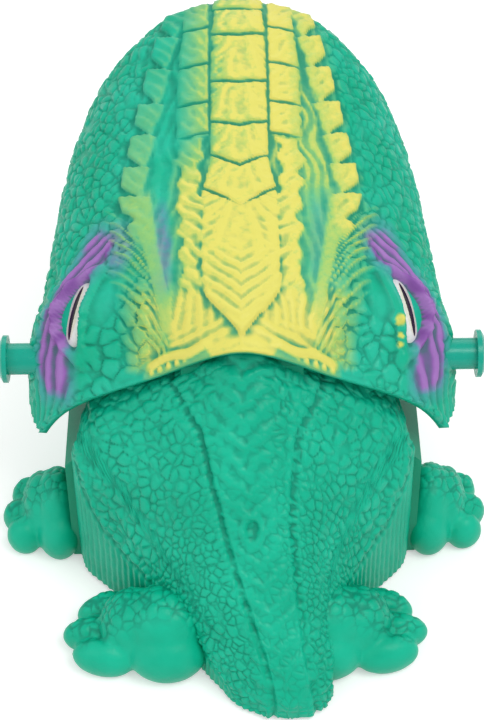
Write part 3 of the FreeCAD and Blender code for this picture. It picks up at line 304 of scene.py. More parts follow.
def moulding(name, grid, height, thickness, fields):
    """A closed shell: the outer face with its relief, a coarser inner face and the rim between them."""
    rows, columns = grid.shape[:2]
    normal = outward(grid)
    outer = grid + normal * height[..., None]
    inner = (grid - normal * thickness)[::LINER_STEP, ::LINER_STEP]
    fine = np.arange(rows * columns).reshape(rows, columns)
    coarse = rows * columns + np.arange(inner.shape[0] * inner.shape[1]).reshape(inner.shape[:2])

    def quads(index):
        around = [index[:-1, :-1], index[1:, :-1], index[1:, 1:], index[:-1, 1:]]
        return np.stack(around, axis=-1).reshape(-1, 4)

    faces = quads(fine).tolist() + quads(coarse)[:, ::-1].tolist()
    borders = ((fine[0], coarse[0]), (fine[:, -1], coarse[:, -1]),
               (fine[-1, ::-1], coarse[-1, ::-1]), (fine[::-1, 0], coarse[::-1, 0]))
    for edge, lining in borders:
        for n in range(len(lining) - 1):
            run = edge[n * LINER_STEP:(n + 1) * LINER_STEP + 1].tolist()
            faces.append(run + [int(lining[n + 1]), int(lining[n])])
    mesh = bpy.data.meshes.new(name)
    points = np.vstack([outer.reshape(-1, 3), inner.reshape(-1, 3)])
    mesh.from_pydata((points * MM).tolist(), [], faces)
    for label, values in fields.items():
        attribute = mesh.attributes.new(label, "FLOAT", "POINT")
        whole = np.zeros(len(points), np.float32)
        whole[:rows * columns] = values.ravel()
        attribute.data.foreach_set("value", whole)
    mesh.shade_smooth()
    piece = bpy.data.objects.new(name, mesh)
    bpy.context.scene.collection.objects.link(piece)
    return piece


# --- relief of the head --------------------------------------------------------

# Places along the head of the edges of the crest's plates, of the flanks' plates and of the
# tips of the side ridges' teeth; then the ridges' distance from the middle along the head.
PLATE_EDGES = np.array([-112.0, -97.0, -83.0, -60.5, -41.5, -23.5, -6.5, 47.0])
FLANK_EDGES = np.array([-105.0, -88.0, -70.5, -52.8, -38.5])
RIDGE_TIPS = np.array([-102.0, -88.0, -74.0, -58.0, -44.0, -31.0, -18.0, -4.5])
RIDGE_LINE = ((-112, -88, -74, -58, -44, -31, -18, -4, 12, 30, 48),
              (25.0, 31.0, 34.0, 37.2, 39.6, 42.4, 44.0, 41.0, 35.0, 29.5, 25.0))


def between(y, edges):
    """Distance to the nearest edge, place between the two round a point, and the first of them.

    The place runs from 0 to 1."""
    gap = np.min(np.abs(y[..., None] - edges), axis=-1)
    i = np.clip(np.searchsorted(edges, y) - 1, 0, len(edges) - 2)
    return gap, np.clip((y - edges[i]) / (edges[i + 1] - edges[i]), 0, 1), edges[i]


def thread(value, sharp=2.0):
    """Narrow raised threads where a wave peaks."""
    return (0.5 + 0.5 * np.sin(value)) ** sharp


def crest_plates(x, y, p):
    """The middle column of overlapping plates with fan-shaped wrinkles."""
    a = np.abs(x)
    half = 10.4 + 3.6 * step(-30, -8, y) - step(-70, -100, y)
    half = half * (1 - step(24, 50, y)) * step(-118, -106, y) + 0.01
    bent = y + (0.10 + 0.50 * step(-50, -18, y)) * a + 0.5 * noise(p, 5.0, 12)
    gap, along, start = between(bent, PLATE_EDGES)
    inside = step(half + 0.5, half - 0.5, a + 0.35 * noise(p, 3.2, 11))
    share = np.minimum(a / half, 1.2)
    fan = np.arctan2(x, y - start + 9.0)
    creases = thread(fan * 19 + 2.0 * noise(p, 6.0, 3), 1.6) * step(0.12, 0.4, share)
    lines = thread((y - 0.55 * a) * 1.55 + 1.6 * noise(p, 6.0, 4), 2.0) * step(0.3, 0.8, share)
    chevrons = thread((y + 0.8 * a) * 1.32 + noise(p, 6.0, 7), 1.5) * step(6, 22, y)
    top = 1.25 + 0.6 * along - 0.5 * share ** 2 + 0.5 * np.maximum(creases, 0.8 * lines) * step(22, 6, y)
    height = inside * (top + 0.65 * chevrons) * step(0.1, 1.1, gap + 3 * step(-12, 2, y))
    return height, inside, 0.5 * creases + chevrons


def flank_plates(x, y, p):
    """Two narrower columns beside the crest, breaking up into ragged bands to the rear."""
    a = np.abs(x)
    gap, along, _ = between(y - 0.06 * (a - 11) + 0.6 * noise(p, 5.0, 13), FLANK_EDGES)
    edge = 22.8 - 1.8 * step(-60, -100, y)
    front = step(10.9, 11.9, a) * step(edge + 0.6, edge - 0.7, a + 0.6 * noise(p, 3.0, 5))
    front = front * step(-112, -103, y) * step(-36.8, -38.8, y)
    wrinkle = thread((0.8 * y + a) * 1.25 + 2.4 * noise(p, 5.0, 17), 1.8)
    rows = front * (1.0 + 0.55 * along + 0.35 * wrinkle) * step(0.1, 1.2, gap)
    middle_line = 18.4 - 0.02 * (y + 35) + 1.4 * noise(p, 9.0, 21)
    width = 3.9 + 1.5 * noise(p, 3.6, 6) + np.sin(y * 0.62)
    band = step(width + 0.6, width - 0.6, np.abs(a - middle_line)) * step(-38.5, -35, y) * step(33, 22, y)
    slant = thread((y + 0.9 * a) * 1.05 + 2.2 * noise(p, 5.0, 8), 1.5)
    height = rows + band * (0.75 + 0.6 * slant)
    return height, np.maximum(front, band), np.maximum(front * wrinkle, band * slant)


def ridge_line(y):
    """How far out the saw-toothed ridges run."""
    return np.interp(y, *RIDGE_LINE)


def saw_ridges(x, y, p):
    """Scales along each side whose points look outwards and forwards, with deep notches behind them."""
    a = np.abs(x)
    here = y + 0.35 * (a - ridge_line(y)) + 0.7 * noise(p, 7.0, 31)
    _, part, _ = between(here, RIDGE_TIPS)
    last_tip = RIDGE_TIPS[-1]
    out = ridge_line(y) + 0.4 - 6.4 * step(0.52, 1.0, part) * step(last_tip + 2, last_tip - 4, here)
    inner = ridge_line(y) - 9.6 + 2.0 * part + 0.8 * noise(p, 4.5, 9)
    body = step(out + 0.6, out - 0.6, a) * step(inner - 0.9, inner + 1.1, a)
    body = body * step(-108, -99, y) * step(9, -4, y)
    slope = np.clip((a - inner) / np.maximum(out - inner, 1.0), 0, 1)
    lines = thread(y + 1.25 * a + 1.8 * noise(p, 6.0, 18), 1.6)
    return body * (0.9 + 1.2 * slope * (1 - 0.5 * part) + 0.45 * lines), body, body * lines


def trunk_line(y):
    """The smooth stems from which the feathers branch off."""
    return np.interp(y, (-25, -15, 8, 31, 42), (40.0, 38.0, 33.0, 28.0, 26.0))


def feathers(x, y, p):
    """Long thin ridges that branch off two stems, outwards and forwards to the eyes."""
    a = np.abs(x)
    out = a - trunk_line(y)
    bent = y + 2.5 * out - 0.062 * out ** 2 + 1.7 * noise(p, 8.0, 14)
    lines = thread(bent * 2 * math.pi / 4.9 + 0.8 * noise(p, 11.0, 15), 3.2)
    lines = lines * (0.6 + 0.4 * noise(p, 6.0, 16))
    fine = thread(bent * 2 * math.pi / 2.6 + 1.2, 1.6)
    first = step(3, 9, bent) * step(32.5, 30, bent) * step(15, 10.5, out + 1.2 * noise(p, 4.0, 17))
    second = step(32.5, 35, bent) * step(54, 48, bent) * step(17.5, 11.0, out + 1.6 * noise(p, 4.0, 19))
    area = np.maximum(first, second) * step(-1.0, 1.5, out)
    stem_half = np.interp(y, (-18, 8, 30), (5.0, 2.4, 2.0))
    stem = step(stem_half + 1.0, stem_half - 0.6, np.abs(out + 0.6)) * step(-22, -12, y) * step(40, 30, y)
    height = area * (1.7 * lines + 0.3 * fine * (1 - lines))
    return np.maximum(height, 0.75 * stem), area * np.clip(lines, 0, 1), np.maximum(area, stem), stem


def eye_frame(x, y, z):
    """Places along and across the opening of the nearer eye, in millimetres."""
    offset = np.stack([np.abs(x) - EYE[0], y - EYE[1], z - EYE[2]], axis=-1)
    return offset @ EYE_LONG, offset @ EYE_ACROSS


def eye_distance(x, y, z):
    """Distance from the nearer eye in its own plane, 1 at its outline."""
    u, v = eye_frame(x, y, z)
    reach = np.sqrt((u / 12.6) ** 2 + ((v - 0.02 * u * u + 1.2) / 4.7) ** 2)
    return np.where(np.abs(x) > 40, reach, 9.0)


def rim_distance(y, z):
    """How far in front of the rear rim a point lies."""
    (y1, z1), (y0, z0) = RIM_TOP, CHEEK
    long = math.hypot(y1 - y0, z1 - z0)
    return -((y - y0) * (z1 - z0) - (z - z0) * (y1 - y0)) / long


def head_relief(grid):
    """Height of the sculpted relief in millimetres, and the values that the paint and the painted shade in
    its grooves follow.
    """
    x, y, z = (grid[..., n] for n in range(3))
    a, p = np.abs(x), grid
    crest, on_crest, crest_lines = crest_plates(x, y, p)
    flank, on_flank, flank_lines = flank_plates(x, y, p)
    saw, on_saw, saw_lines = saw_ridges(x, y, p)
    streak, on_streak, feathered, on_stem = feathers(x, y, p)
    rim_gap = rim_distance(y, z)

    warped = p + np.stack([noise(p, 6.0, 40 + n) for n in range(3)], axis=-1)
    small = pebbles(warped * (1.0, 0.85, 1.0), 4.3, 50, 0.3) + 0.35 * layered(p, 9.0, 45)
    large = pebbles(p + 0.5 * noise(p, 3.0, 44)[..., None], 6.4, 60, 0.22)
    upright = thread((z * 0.75 + y * 1.25 + 3.0 * layered(p * (1, 1, 0.5), 8.0, 70)) * 1.25, 1.4)

    side = step(0.5, 3.5, a - ridge_line(y)) * step(20, 8, y) + step(43, 50, a) * step(2, 16, y)
    side = np.clip(side, 0, 1)
    domes = step(14, 22, y) * step(31, 35, a) * step(1.5, 4.0, rim_gap)
    smooth_patch = step(1.05, 0.75, np.sqrt(((y - 21) / 8) ** 2 + ((a - 50) / 7.0) ** 2))
    eye_gap = eye_distance(x, y, z)
    u, v = eye_frame(x, y, z)
    near_eye = step(-13, -9, v) * step(4.5, 1.5, v) * step(-34, -28, u) * step(36, 28, u)
    pebbly = side * (1 - domes) * (1 - 0.9 * near_eye) * (1 - smooth_patch)
    fine = 0.22 * layered(p, 2.4, 80)
    valley = (1 - on_crest) * (1 - on_flank) * (1 - on_saw) * (1 - side) * (1 - feathered)
    flow = thread((a - 0.16 * y + 3.0 * noise(p, 12.0, 90)) * 1.5, 2.0)
    cheek = step(56, 63, a) * step(24, 31, y)
    across = thread((rim_gap + 0.25 * a + 1.4 * noise(p, 6.0, 92)) * 1.5, 1.5)
    across = across * step(15, 11, rim_gap) * step(30, 24, a)
    flow = flow * step(9, 16, rim_gap) + across * 0.8

    height = (np.maximum.reduce([crest, flank, saw])
              + streak * (1 - on_crest) * (1 - on_saw) * (1 - on_flank) + fine)
    height = (height + pebbly * 1.1 * small
              + domes * (1 - near_eye) * (1 - smooth_patch) * (1 - 0.8 * cheek) * 1.3 * large)
    height = height + np.maximum(1.35 * near_eye, 0.9 * cheek) * upright + valley * 0.45 * flow
    ovals = hump(rim_gap + 0.7 * np.sin(a * 0.42), 4.2, 2.3) * step(36, 30, a) * step(9, 14, a)
    lumps = (thread(a * 2.0 + noise(p, 6.0, 91), 1.3) * hump(rim_gap, 1.8, 1.5)
             * step(18, 22, a) * step(36, 32, a))
    ovals = np.maximum(ovals, 0.8 * lumps)
    height = height * (1 - 0.6 * step(7.0, 5.0, rim_gap) * step(40, 34, a)) + 1.3 * ovals
    lids = (1.9 + 0.7 * step(0, -3, v)) * hump(eye_gap, 1.25, 0.26 + 0.1 * step(-1, 2, v))
    socket = -3.4 * step(1.12, 0.9, eye_gap)
    height = height * step(0.9, 1.3, eye_gap) + lids + socket

    nostril = np.sqrt(((a - 16) / 4.2) ** 2 + ((z - 128) / 5.5) ** 2) + 9 * step(-104, -98, y)
    height = height + 1.4 * hump(nostril, 1.35, 0.5) - 3.4 * step(1.0, 0.6, nostril)

    gum = step(9, 3, z - lip_height(y)) * step(24, 10, y)
    height = height * (1 - 0.55 * gum) + 0.9 * gum

    # Painted shade: how far a point lies below its neighbours; it darkens the grooves in the skin's colour
    # and keeps the yellow out of them.
    shade = np.clip(0.5 - 0.5 * (height - smooth_field(height, 5)), 0, 1)
    lines = np.clip(np.maximum.reduce(
        [crest_lines * on_crest, flank_lines, saw_lines, on_streak, valley * flow]), 0, 1)
    return height, {"groove": shade, "raised": np.clip(upright * near_eye + 0.3, 0, 1), "lines": lines,
                    "crest": on_crest, "flank": on_flank, "saw": on_saw,
                    "streak": on_streak, "ovals": ovals,
                    "stem": on_stem, "valley": valley}


def smooth_field(values, reach):
    """A running mean in both directions of a grid."""
    for axis in (0, 1):
        padded = np.concatenate([np.repeat(np.take(values, [0], axis), reach, axis), values,
                                 np.repeat(np.take(values, [-1], axis), reach, axis)], axis)
        total = np.cumsum(padded, axis)
        first = np.take(total, range(0, values.shape[axis]), axis)
        last = np.take(total, range(2 * reach, values.shape[axis] + 2 * reach), axis)
        values = (last - first) / (2 * reach)
    return values


SPRAY = np.array([-0.80, 0.08, 0.60])      # the yellow came from above the animal's right side


def head_paint(grid, normal, fields):
    """Where the yellow, olive and purple sprays lie, from 0 to 1."""
    x, y, z = (grid[..., n] for n in range(3))
    a, p = np.abs(x), grid
    cloud = layered(p, 14.0, 100)
    faced = step(0.34, 0.74, normal @ SPRAY)
    blur = 16 * step(-90, -118, y)
    left, behind = np.clip((x + 1 + blur) / (2.5 + 2 * blur), 0, 1), step(-34, -14, y)
    crest = fields["crest"] * (behind * (0.72 + 0.28 * faced) + (1 - behind) * (0.25 + 0.75 * faced))
    bands = behind * (0.9 - 0.25 * (1 - faced))
    ahead = (left * (0.30 * step(20, 14, a) + 0.06 + 0.22 * faced)
             + (1 - left) * (0.92 - 0.26 * step(15, 22, a)))
    flank = fields["flank"] * (bands + (1 - behind) * ahead)
    worn = step(12, 2, ridge_line(y) + 2 - a) * 0.2
    saw = fields["saw"] * (left * (0.04 + 0.24 * step(-85, -10, y) + 0.14 * faced)
                           + (1 - left) * (0.50 + 0.12 * faced + worn))
    valley = fields["valley"] * step(44, 34, a - 0.1 * y) * (
        (1 - left) * (0.44 + 0.22 * fields["lines"]) * step(2, -26, y)
        + left * 0.16 * faced * step(30, 16, a))
    stem = fields["stem"] * (0.36 + 0.12 * (1 - left) + 0.12 * cloud)
    fade = step(15, 3, a - trunk_line(y)) * 0.4 + 0.6
    streak = np.clip(fields["streak"] * 1.2, 0, 1) * (0.60 + 0.22 * faced) * fade
    reach = 25.5 - 2.0 * step(-10, 20, y) + 4.0 * step(24, 36, y) + 2.5 * cloud
    rear = step(18, 30, y) * step(reach + 3, reach - 4, a) * (0.84 + 0.16 * faced)
    lace = (step(20, 27, y) * step(43, 35, a) * step(26, 30, a)
            * (0.75 * step(0.52, 0.62, fields["groove"]) + 0.1))
    mist = (0.34 * step(36, 10, np.abs(x + 8)) + 0.05 * left) * step(34, 20, y) * (0.8 + 0.3 * cloud)
    yellow = np.maximum.reduce([crest, flank, saw, valley, stem, streak, rear, lace])
    yellow = np.maximum(yellow, smooth_field(yellow, 5) * 0.9)
    yellow = np.maximum(0.75 * yellow + 0.25 * smooth_field(yellow, 3),
                        mist * step(-110, -80, y) * step(30, 10, y))
    yellow = yellow * (0.35 + 0.65 * step(-121, -98, y)) * (1 + 0.10 * cloud)
    rim_gap = rim_distance(y, z)
    ovals = step(7.0, 5.0, rim_gap) * step(37, 32, a) * (0.35 + 0.6 * np.clip(fields["ovals"] * 1.3, 0, 1))
    ovals = np.maximum(ovals, 0.9 * step(9, 5, rim_gap) * step(14, 9, a))
    yellow = np.maximum(yellow * step(1.0, 6.0, rim_gap + 6 * step(14, 9, a)), ovals)
    spot = np.full(x.shape, 9.0)
    u, v = eye_frame(x, y, z)
    for along, across, size in ((3.0, 6.0, 1.25), (8.4, 6.4, 0.75), (11.4, 6.9, 0.85)):
        spot = np.minimum(spot, np.hypot((u - along) / 1.6, v - across) / size)
    yellow = np.maximum(yellow, 0.8 * step(1.3, 0.7, spot + 0.3 * noise(p, 1.5, 93)) * step(-40, -44, x))
    wide = 5.0 + 1.6 * cloud
    centre = np.interp(u, (-32, -18, -10, 0, 12, 30), (-1.0, -1.5, -4.6, -6.6, -5.8, -4.6))
    inner = (step(wide + 3.6, wide - 1.5, np.abs(v - centre))
             * step(-37, -24, u) * step(35, 25, u) * step(40, 46, a))
    fringe = (step(wide + 8.0, wide + 1.0, np.abs(v - centre))
              * step(-42, -28, u) * step(40, 28, u) * step(38, 45, a))
    smear = step(1.2, 0.5, np.sqrt(((y - 3) / 14) ** 2 + ((a - 44) / 7) ** 2) + 0.35 * cloud)
    pocket = step(1.3, 0.5, np.sqrt(((y - 8) / 22) ** 2 + ((a - 28.5) / 4.5) ** 2) + 0.35 * cloud)
    cool = np.maximum(0.36 * left * smear, (0.16 + 0.24 * left) * pocket) * step(0.45, 0.2, yellow)
    purple = np.maximum.reduce([inner, 0.32 * fringe, cool])
    purple = np.maximum(purple, 0.8 * step(-0.5, -2.5, v) * step(16, 9, np.abs(u))
                        * step(-12, -8, v) * step(44, 50, a))
    return {"yellow": np.clip(yellow, 0, 1), "purple": np.clip(purple, 0, 1)}


# --- relief of the torso -------------------------------------------------------

def torso_relief(grid):
    x, y, z = (grid[..., n] for n in range(3))
    along = np.maximum(y - TORSO_FRONT, 0) / TORSO_LENGTH
    table = np.array(TORSO_FORM)
    line = np.interp(along, table[:, 0], table[:, 7]) * TORSO_HIGH
    spine = -np.interp(along, table[:, 0], table[:, 8]) * TAIL_SWING
    a, p = np.abs(x - spine), grid
    wall = step(line + 2.0, line - 2.5, z) * step(118, 108, y)
    loose = p + 0.9 * np.stack([noise(p, 4.0, 200 + n) for n in range(3)], axis=-1)
    size = 4.3 - 1.2 * step(60, 100, y)
    bumps = pebbles(loose / (size / 4.3)[..., None], 4.3, 210, 0.3)
    chevrons = thread((y + 0.62 * a) * 1.25 + 1.3 * noise(p, 5.0, 220), 1.3)
    ridge = step(14, 7, a) * (0.75 * chevrons + 0.25)
    arcs = (thread((y + 0.035 * a * a) * 0.78 + 1.2 * noise(p, 8.0, 221), 1.6)
            * step(62, 50, y) * step(34, 20, a))
    crease = np.interp(y, (44, 60, 80, 112), (25.5, 16, 11, 6))
    fold = hump(np.abs(x - spine - crease), 0, 1.5) + 0.8 * hump(np.abs(x - spine + crease + 4), 0, 1.8)
    ribs = np.sin(y * 2.9 + 0.5 * noise(p, 6.0, 230)) * 0.22 + 0.12 * noise(p, 3.0, 231)
    edge = hump(z - line, 0.0, 2.6)
    folds = (thread((z - line) * 0.62 + 0.10 * y + 2.6 * noise(p, 9.0, 241), 1.8)
             * step(26, 6, z - line) * (1 - wall))
    height = (1 - wall) * (0.95 * bumps * (1 - 0.6 * step(14, 7, a)) + ridge + 0.5 * arcs + 0.5 * folds
                           + 0.5 * layered(p, 8.0, 240)) + wall * ribs
    height = height - 1.3 * fold * (1 - wall) - 0.9 * edge * step(116, 106, y)
    dimple = np.sqrt((x + 3) ** 2 + (y - 84) ** 2)
    height = height + 0.7 * hump(dimple, 3.6, 1.2) - 0.9 * step(2.6, 1.6, dimple)
    # The recesses of the relief, kept as the mask of the painted shade in the grooves.
    return height, {"groove": np.clip(0.5 - 0.62 * (height - smooth_field(height, 4)), 0, 1)}


# --- materials -----------------------------------------------------------------

def linear(red, green, blue):
    """A colour as seen on a screen, 0 to 255, as linear values."""
    def channel(c):
        c = c / 255
        return c / 12.92 if c <= 0.04045 else ((c + 0.055) / 1.055) ** 2.4
    return (channel(red), channel(green), channel(blue), 1.0)


class Shader:
    """A node tree with short calls for the nodes that the finishes use."""

    def __init__(self, name):
        self.material = bpy.data.materials.new(name)
        self.material.use_nodes = True
        self.tree = self.material.node_tree
        self.tree.nodes.clear()
        self.output = self.tree.nodes.new("ShaderNodeOutputMaterial")
        self.surface = self.tree.nodes.new("ShaderNodeBsdfPrincipled")
        self.link(self.surface.outputs[0], self.output.inputs["Surface"])
        coordinates = self.tree.nodes.new("ShaderNodeTexCoord")
        self.place = coordinates.outputs["Object"]

    def link(self, source, target):
        if hasattr(source, "links"):
            self.tree.links.new(source, target)
        else:
            target.default_value = source

    def field(self, name):
        item = self.tree.nodes.new("ShaderNodeAttribute")
        item.attribute_name = name
        return item.outputs["Fac"]

    def noise(self, size, detail=3.0, rough=0.55):
        """Noise with features of this size in millimetres."""
        item = self.tree.nodes.new("ShaderNodeTexNoise")
        self.link(self.place, item.inputs["Vector"])
        item.inputs["Scale"].default_value = 1 / (size * MM)
        item.inputs["Detail"].default_value = detail
        item.inputs["Roughness"].default_value = rough
        return item.outputs["Fac"]

    def spread(self, value, low, high, to_low=0.0, to_high=1.0):
        """Map a value from one range to another, clamped."""
        item = self.tree.nodes.new("ShaderNodeMapRange")
        self.link(value, item.inputs["Value"])
        sockets = ("From Min", "From Max", "To Min", "To Max")
        for socket, number in zip(sockets, (low, high, to_low, to_high)):
            item.inputs[socket].default_value = number
        return item.outputs["Result"]

    def sum(self, kind, a, b):
        item = self.tree.nodes.new("ShaderNodeMath")
        item.operation = kind
        self.link(a, item.inputs[0])
        self.link(b, item.inputs[1])
        return item.outputs[0]

    def mix(self, factor, a, b, kind="MIX"):
        item = self.tree.nodes.new("ShaderNodeMix")
        item.data_type = "RGBA"
        item.blend_type = kind
        self.link(factor, item.inputs["Factor"])
        self.link(a, item.inputs["A"])
        self.link(b, item.inputs["B"])
        return item.outputs["Result"]

    def bump(self, value, depth, strength=1.0):
        """Fine relief of this depth in millimetres; calls add up."""
        item = self.tree.nodes.new("ShaderNodeBump")
        self.link(value, item.inputs["Height"])
        item.inputs["Distance"].default_value = depth * MM
        item.inputs["Strength"].default_value = strength
        if self.surface.inputs["Normal"].links:
            self.link(self.surface.inputs["Normal"].links[0].from_socket, item.inputs["Normal"])
        self.link(item.outputs[0], self.surface.inputs["Normal"])

    def set(self, **values):
        for name, value in values.items():
            self.link(value, self.surface.inputs[name.replace("_", " ")])
        return self.material


def plain_finish(name, colour, rough, metal=0.0, grain=0.9, depth=0.05, tint=0.12, coat=0.0,
                 gloss=0.5):
    """A moulded or metal finish: slight unevenness of colour, sheen and surface, and handling wear."""
    s = Shader(name)
    patch = s.noise(14.0, 4.0)
    fine = s.noise(grain, 3.0)
    dark = tuple(c * (1 - tint) for c in colour[:3]) + (1.0,)
    light = tuple(min(1.0, c * (1 + tint) + 0.01 * tint) for c in colour[:3]) + (1.0,)
    base = s.mix(s.spread(patch, 0.35, 0.65), dark, light)
    worn = s.spread(s.noise(5.0, 6.0, 0.7), 0.62, 0.72, 0.0, 0.35)
    s.bump(fine, depth)
    s.bump(patch, depth * 2)
    roughness = s.sum("ADD", s.spread(fine, 0.3, 0.7, rough - 0.05, rough + 0.07),
                      s.sum("MULTIPLY", worn, 0.25))
    return s.set(Base_Color=base, Roughness=roughness, Metallic=metal, Coat_Weight=coat,
                 Specular_IOR_Level=gloss)


GREENS = {"head": (linear(0, 172, 134), linear(30, 184, 152)),
          "body": (linear(0, 174, 138), linear(14, 186, 150))}
DULL = 0.22                               # specular level of the rubbery mouldings


def skin_finish(name, kind, painted):
    """Rubbery green moulding with painted shade in its grooves; the head is also sprayed yellow and purple
    over its relief.
    """
    s = Shader(name)
    patch = s.noise(22.0, 4.0)
    speck = s.noise(0.7, 4.0, 0.6)
    base = s.mix(s.spread(patch, 0.36, 0.64), *GREENS[kind])
    groove = s.field("groove")
    if painted:
        mottle = s.noise(2.4, 4.0, 0.6)
        purple = s.sum("MULTIPLY", s.field("purple"), s.spread(mottle, 0.3, 0.6, 0.8, 1.1))
        base = s.mix(s.spread(purple, 0.05, 0.42, 0.0, 0.85), base, linear(92, 146, 172))
        lilac = s.mix(s.spread(s.field("raised"), 0.1, 0.9), linear(122, 66, 152), linear(160, 114, 186))
        base = s.mix(s.spread(purple, 0.3, 0.75), base, lilac)
        yellow = s.sum("MULTIPLY", s.field("yellow"), s.spread(mottle, 0.25, 0.6, 0.82, 1.12))
        yellow = s.sum("MULTIPLY", yellow, s.spread(groove, 0.5, 0.8, 1.0, 0.3))
        base = s.mix(s.spread(yellow, 0.04, 0.5, 0.0, 1.0), base, linear(150, 198, 106))
        base = s.mix(s.spread(yellow, 0.42, 0.85, 0.0, 1.0), base, linear(220, 214, 104))
    # Painted shade: the grooves are darkened towards a deep green.
    base = s.mix(s.spread(groove, 0.51, 0.86, 0.0, 0.62), base, linear(0, 118, 96))
    s.bump(speck, 0.07)
    s.bump(s.noise(2.0, 5.0, 0.65), 0.16)
    roughness = s.sum("ADD", s.spread(speck, 0.3, 0.7, 0.32, 0.44), s.spread(groove, 0.5, 1.0, 0.0, 0.2))
    return s.set(Base_Color=base, Roughness=roughness, Specular_IOR_Level=DULL)


def eye_finish():
    """Glossy white with a narrow dark pupil along the opening and a faint iris."""
    s = Shader("eye_paint")
    veins = s.spread(s.noise(1.6, 5.0, 0.7), 0.35, 0.65)
    white = s.mix(veins, linear(226, 228, 224), linear(238, 239, 236))
    amber = s.mix(veins, linear(214, 208, 178), linear(228, 224, 204))
    base = s.mix(s.spread(s.field("iris"), 0.3, 0.7, 0.0, 0.7), white, amber)
    base = s.mix(s.spread(s.field("pupil"), 0.4, 0.6), base, linear(12, 12, 14))
    s.bump(s.noise(3.0), 0.04)
    return s.set(Base_Color=base, Roughness=s.spread(veins, 0.0, 1.0, 0.1, 0.18), Coat_Weight=0.5)


def rubbed(colour, rough, **more):
    return dict(colour=colour, rough=rough, **more)


FINISHES = {
    "green_plain": rubbed(linear(0, 146, 112), 0.34, gloss=0.2, tint=0.05),
    "green_gloss": rubbed(linear(0, 160, 136), 0.24, grain=3.0, depth=0.04, gloss=0.35, tint=0.05),
    "green_skin": rubbed(linear(0, 174, 138), 0.36, gloss=0.22, tint=0.05),
    "ivory": rubbed(linear(240, 234, 208), 0.24, depth=0.04, coat=0.3),
    "mouth_red": rubbed(linear(176, 46, 58), 0.36, grain=1.4, depth=0.12),
    "tray_blue": rubbed(linear(44, 132, 206), 0.24, coat=0.3),
    "yellow_plastic": rubbed(linear(244, 196, 36), 0.26, coat=0.25),
    "white_plastic": rubbed(linear(232, 232, 226), 0.38),
    "grey_plastic": rubbed(linear(96, 102, 106), 0.42),
    "black_plastic": rubbed(linear(28, 28, 30), 0.4),
    "steel": rubbed(linear(176, 178, 180), 0.3, metal=1.0, grain=0.4),
    "brass": rubbed(linear(196, 160, 92), 0.3, metal=1.0, grain=0.4),
    "cell_jacket": rubbed(linear(44, 46, 52), 0.3, coat=0.4),
    "plug_rubber": rubbed(linear(30, 30, 32), 0.7, grain=0.6, depth=0.1),
}


FINISHED = {name: plain_finish(name, **look) for name, look in FINISHES.items()}
FINISHED["eye_white"] = eye_finish()
HEAD_SKIN = skin_finish("head_skin", "head", painted=True)
BODY_SKIN = skin_finish("body_skin", "body", painted=False)


def dress(piece, finish, body, slot, *nodes):
    """Give a piece its finish and body, and hide the CAD nodes that it stands for."""
    piece.data.materials.clear()
    piece.data.materials.append(finish)
    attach(piece, body)
    if nodes:
        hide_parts(*nodes)
    return piece


# --- the head and the torso ----------------------------------------------------

def head():
    grid = head_surface(313, 253)
    lip = grid[0, 0, 2]
    grid = capped(grid, np.array([0.0, HEAD_FRONT, lip]), 28, -2.5, True)
    height, fields = head_relief(grid)
    paint = head_paint(grid, outward(grid + outward(grid) * height[..., None]), fields)
    paint.update({key: fields[key] for key in ("groove", "raised")})
    piece = moulding("head_skin", grid, height, SKIN_WALL, paint)
    return dress(piece, HEAD_SKIN, "head", "green_skin", "head_shell")


def torso():
    grid = torso_surface(301, 281)
    grid = capped(grid, np.array([-TAIL_SWING, TORSO_FRONT + TORSO_LENGTH, FLOOR_GAP]), 20, 1.2, False)
    height, fields = torso_relief(grid)
    piece = moulding("torso_skin", grid, height, SKIN_WALL, fields)
    return dress(piece, BODY_SKIN, "body", "green_skin", "torso_shell")


def jaw_outline(count):
    """Points and outward directions round the lower jaw.

    They run from its left rear edge over the front to the right."""
    half, bow = JAW_HALF, JAW_BOW
    straight = JAW_BACK - bow
    reach = np.linspace(0, 2 * straight + math.pi * half, count)
    turn = np.clip((reach - straight) / half, 0, math.pi)
    run = np.where(reach < straight, straight - reach, np.maximum(reach - straight - math.pi * half, 0))
    out = np.stack([np.cos(turn), -np.sin(turn)], axis=-1)
    return np.stack([half * out[:, 0], bow + run + half * out[:, 1]], axis=-1), out


def jaw():
    """A scaly skin over the lower jaw, smooth round the plug and folded under the lip."""
    points, out = jaw_outline(301)
    heights = np.concatenate([np.linspace(1.0, JAW_CHAMFER, 14)[:-1],
                              np.linspace(JAW_CHAMFER, JAW_HIGH, 70)])
    inset = np.maximum(JAW_CHAMFER - heights, 0)
    grid = np.zeros((len(heights), len(points), 3))
    grid[..., :2] = points[None] + out[None] * (0.25 - inset[:, None, None])
    grid[..., 2] = heights[:, None]
    x, y, z = (grid[..., n] for n in range(3))
    loose = grid + 0.9 * np.stack([noise(grid, 4.0, 400 + n) for n in range(3)], axis=-1)
    chin = step(20, 10, z)
    plug = np.where(y < JAW_BOW, np.hypot(x, z - DRAIN_Z), 99.0)
    lip = step(JAW_HIGH - 7, JAW_HIGH - 4, z)
    ends = step(1.0, 6.0, JAW_BACK - y) * step(0.0, 3.0, z)
    folds = thread(z * 0.9 + 1.6 * noise(grid, 12.0, 410) + 0.05 * np.abs(x), 2.0)
    height = 1.15 * pebbles(loose, 4.6, 420, 0.3) * (1 - chin) * (1 - lip) + 0.6 * chin * folds
    height = (height + lip * (0.7 + 0.35 * thread(np.arctan2(y - JAW_BOW, x) * 40, 1.2))
              + 0.3 * layered(grid, 9.0, 430))
    height = np.maximum(height, 0) * ends * step(8.5, 12.0, plug) * step(JAW_HIGH, JAW_HIGH - 1.5, z)
    height = height + 0.6 * hump(plug, 9.5, 1.4)
    # The recesses of the relief, kept as the mask of the painted shade in the grooves.
    groove = np.clip(0.5 - 0.6 * (height - smooth_field(height, 4)), 0, 1)
    piece = moulding("jaw_skin", grid, height, JAW_SKIN_WALL, {"groove": groove})
    dress(piece, BODY_SKIN, "body", "green_skin")


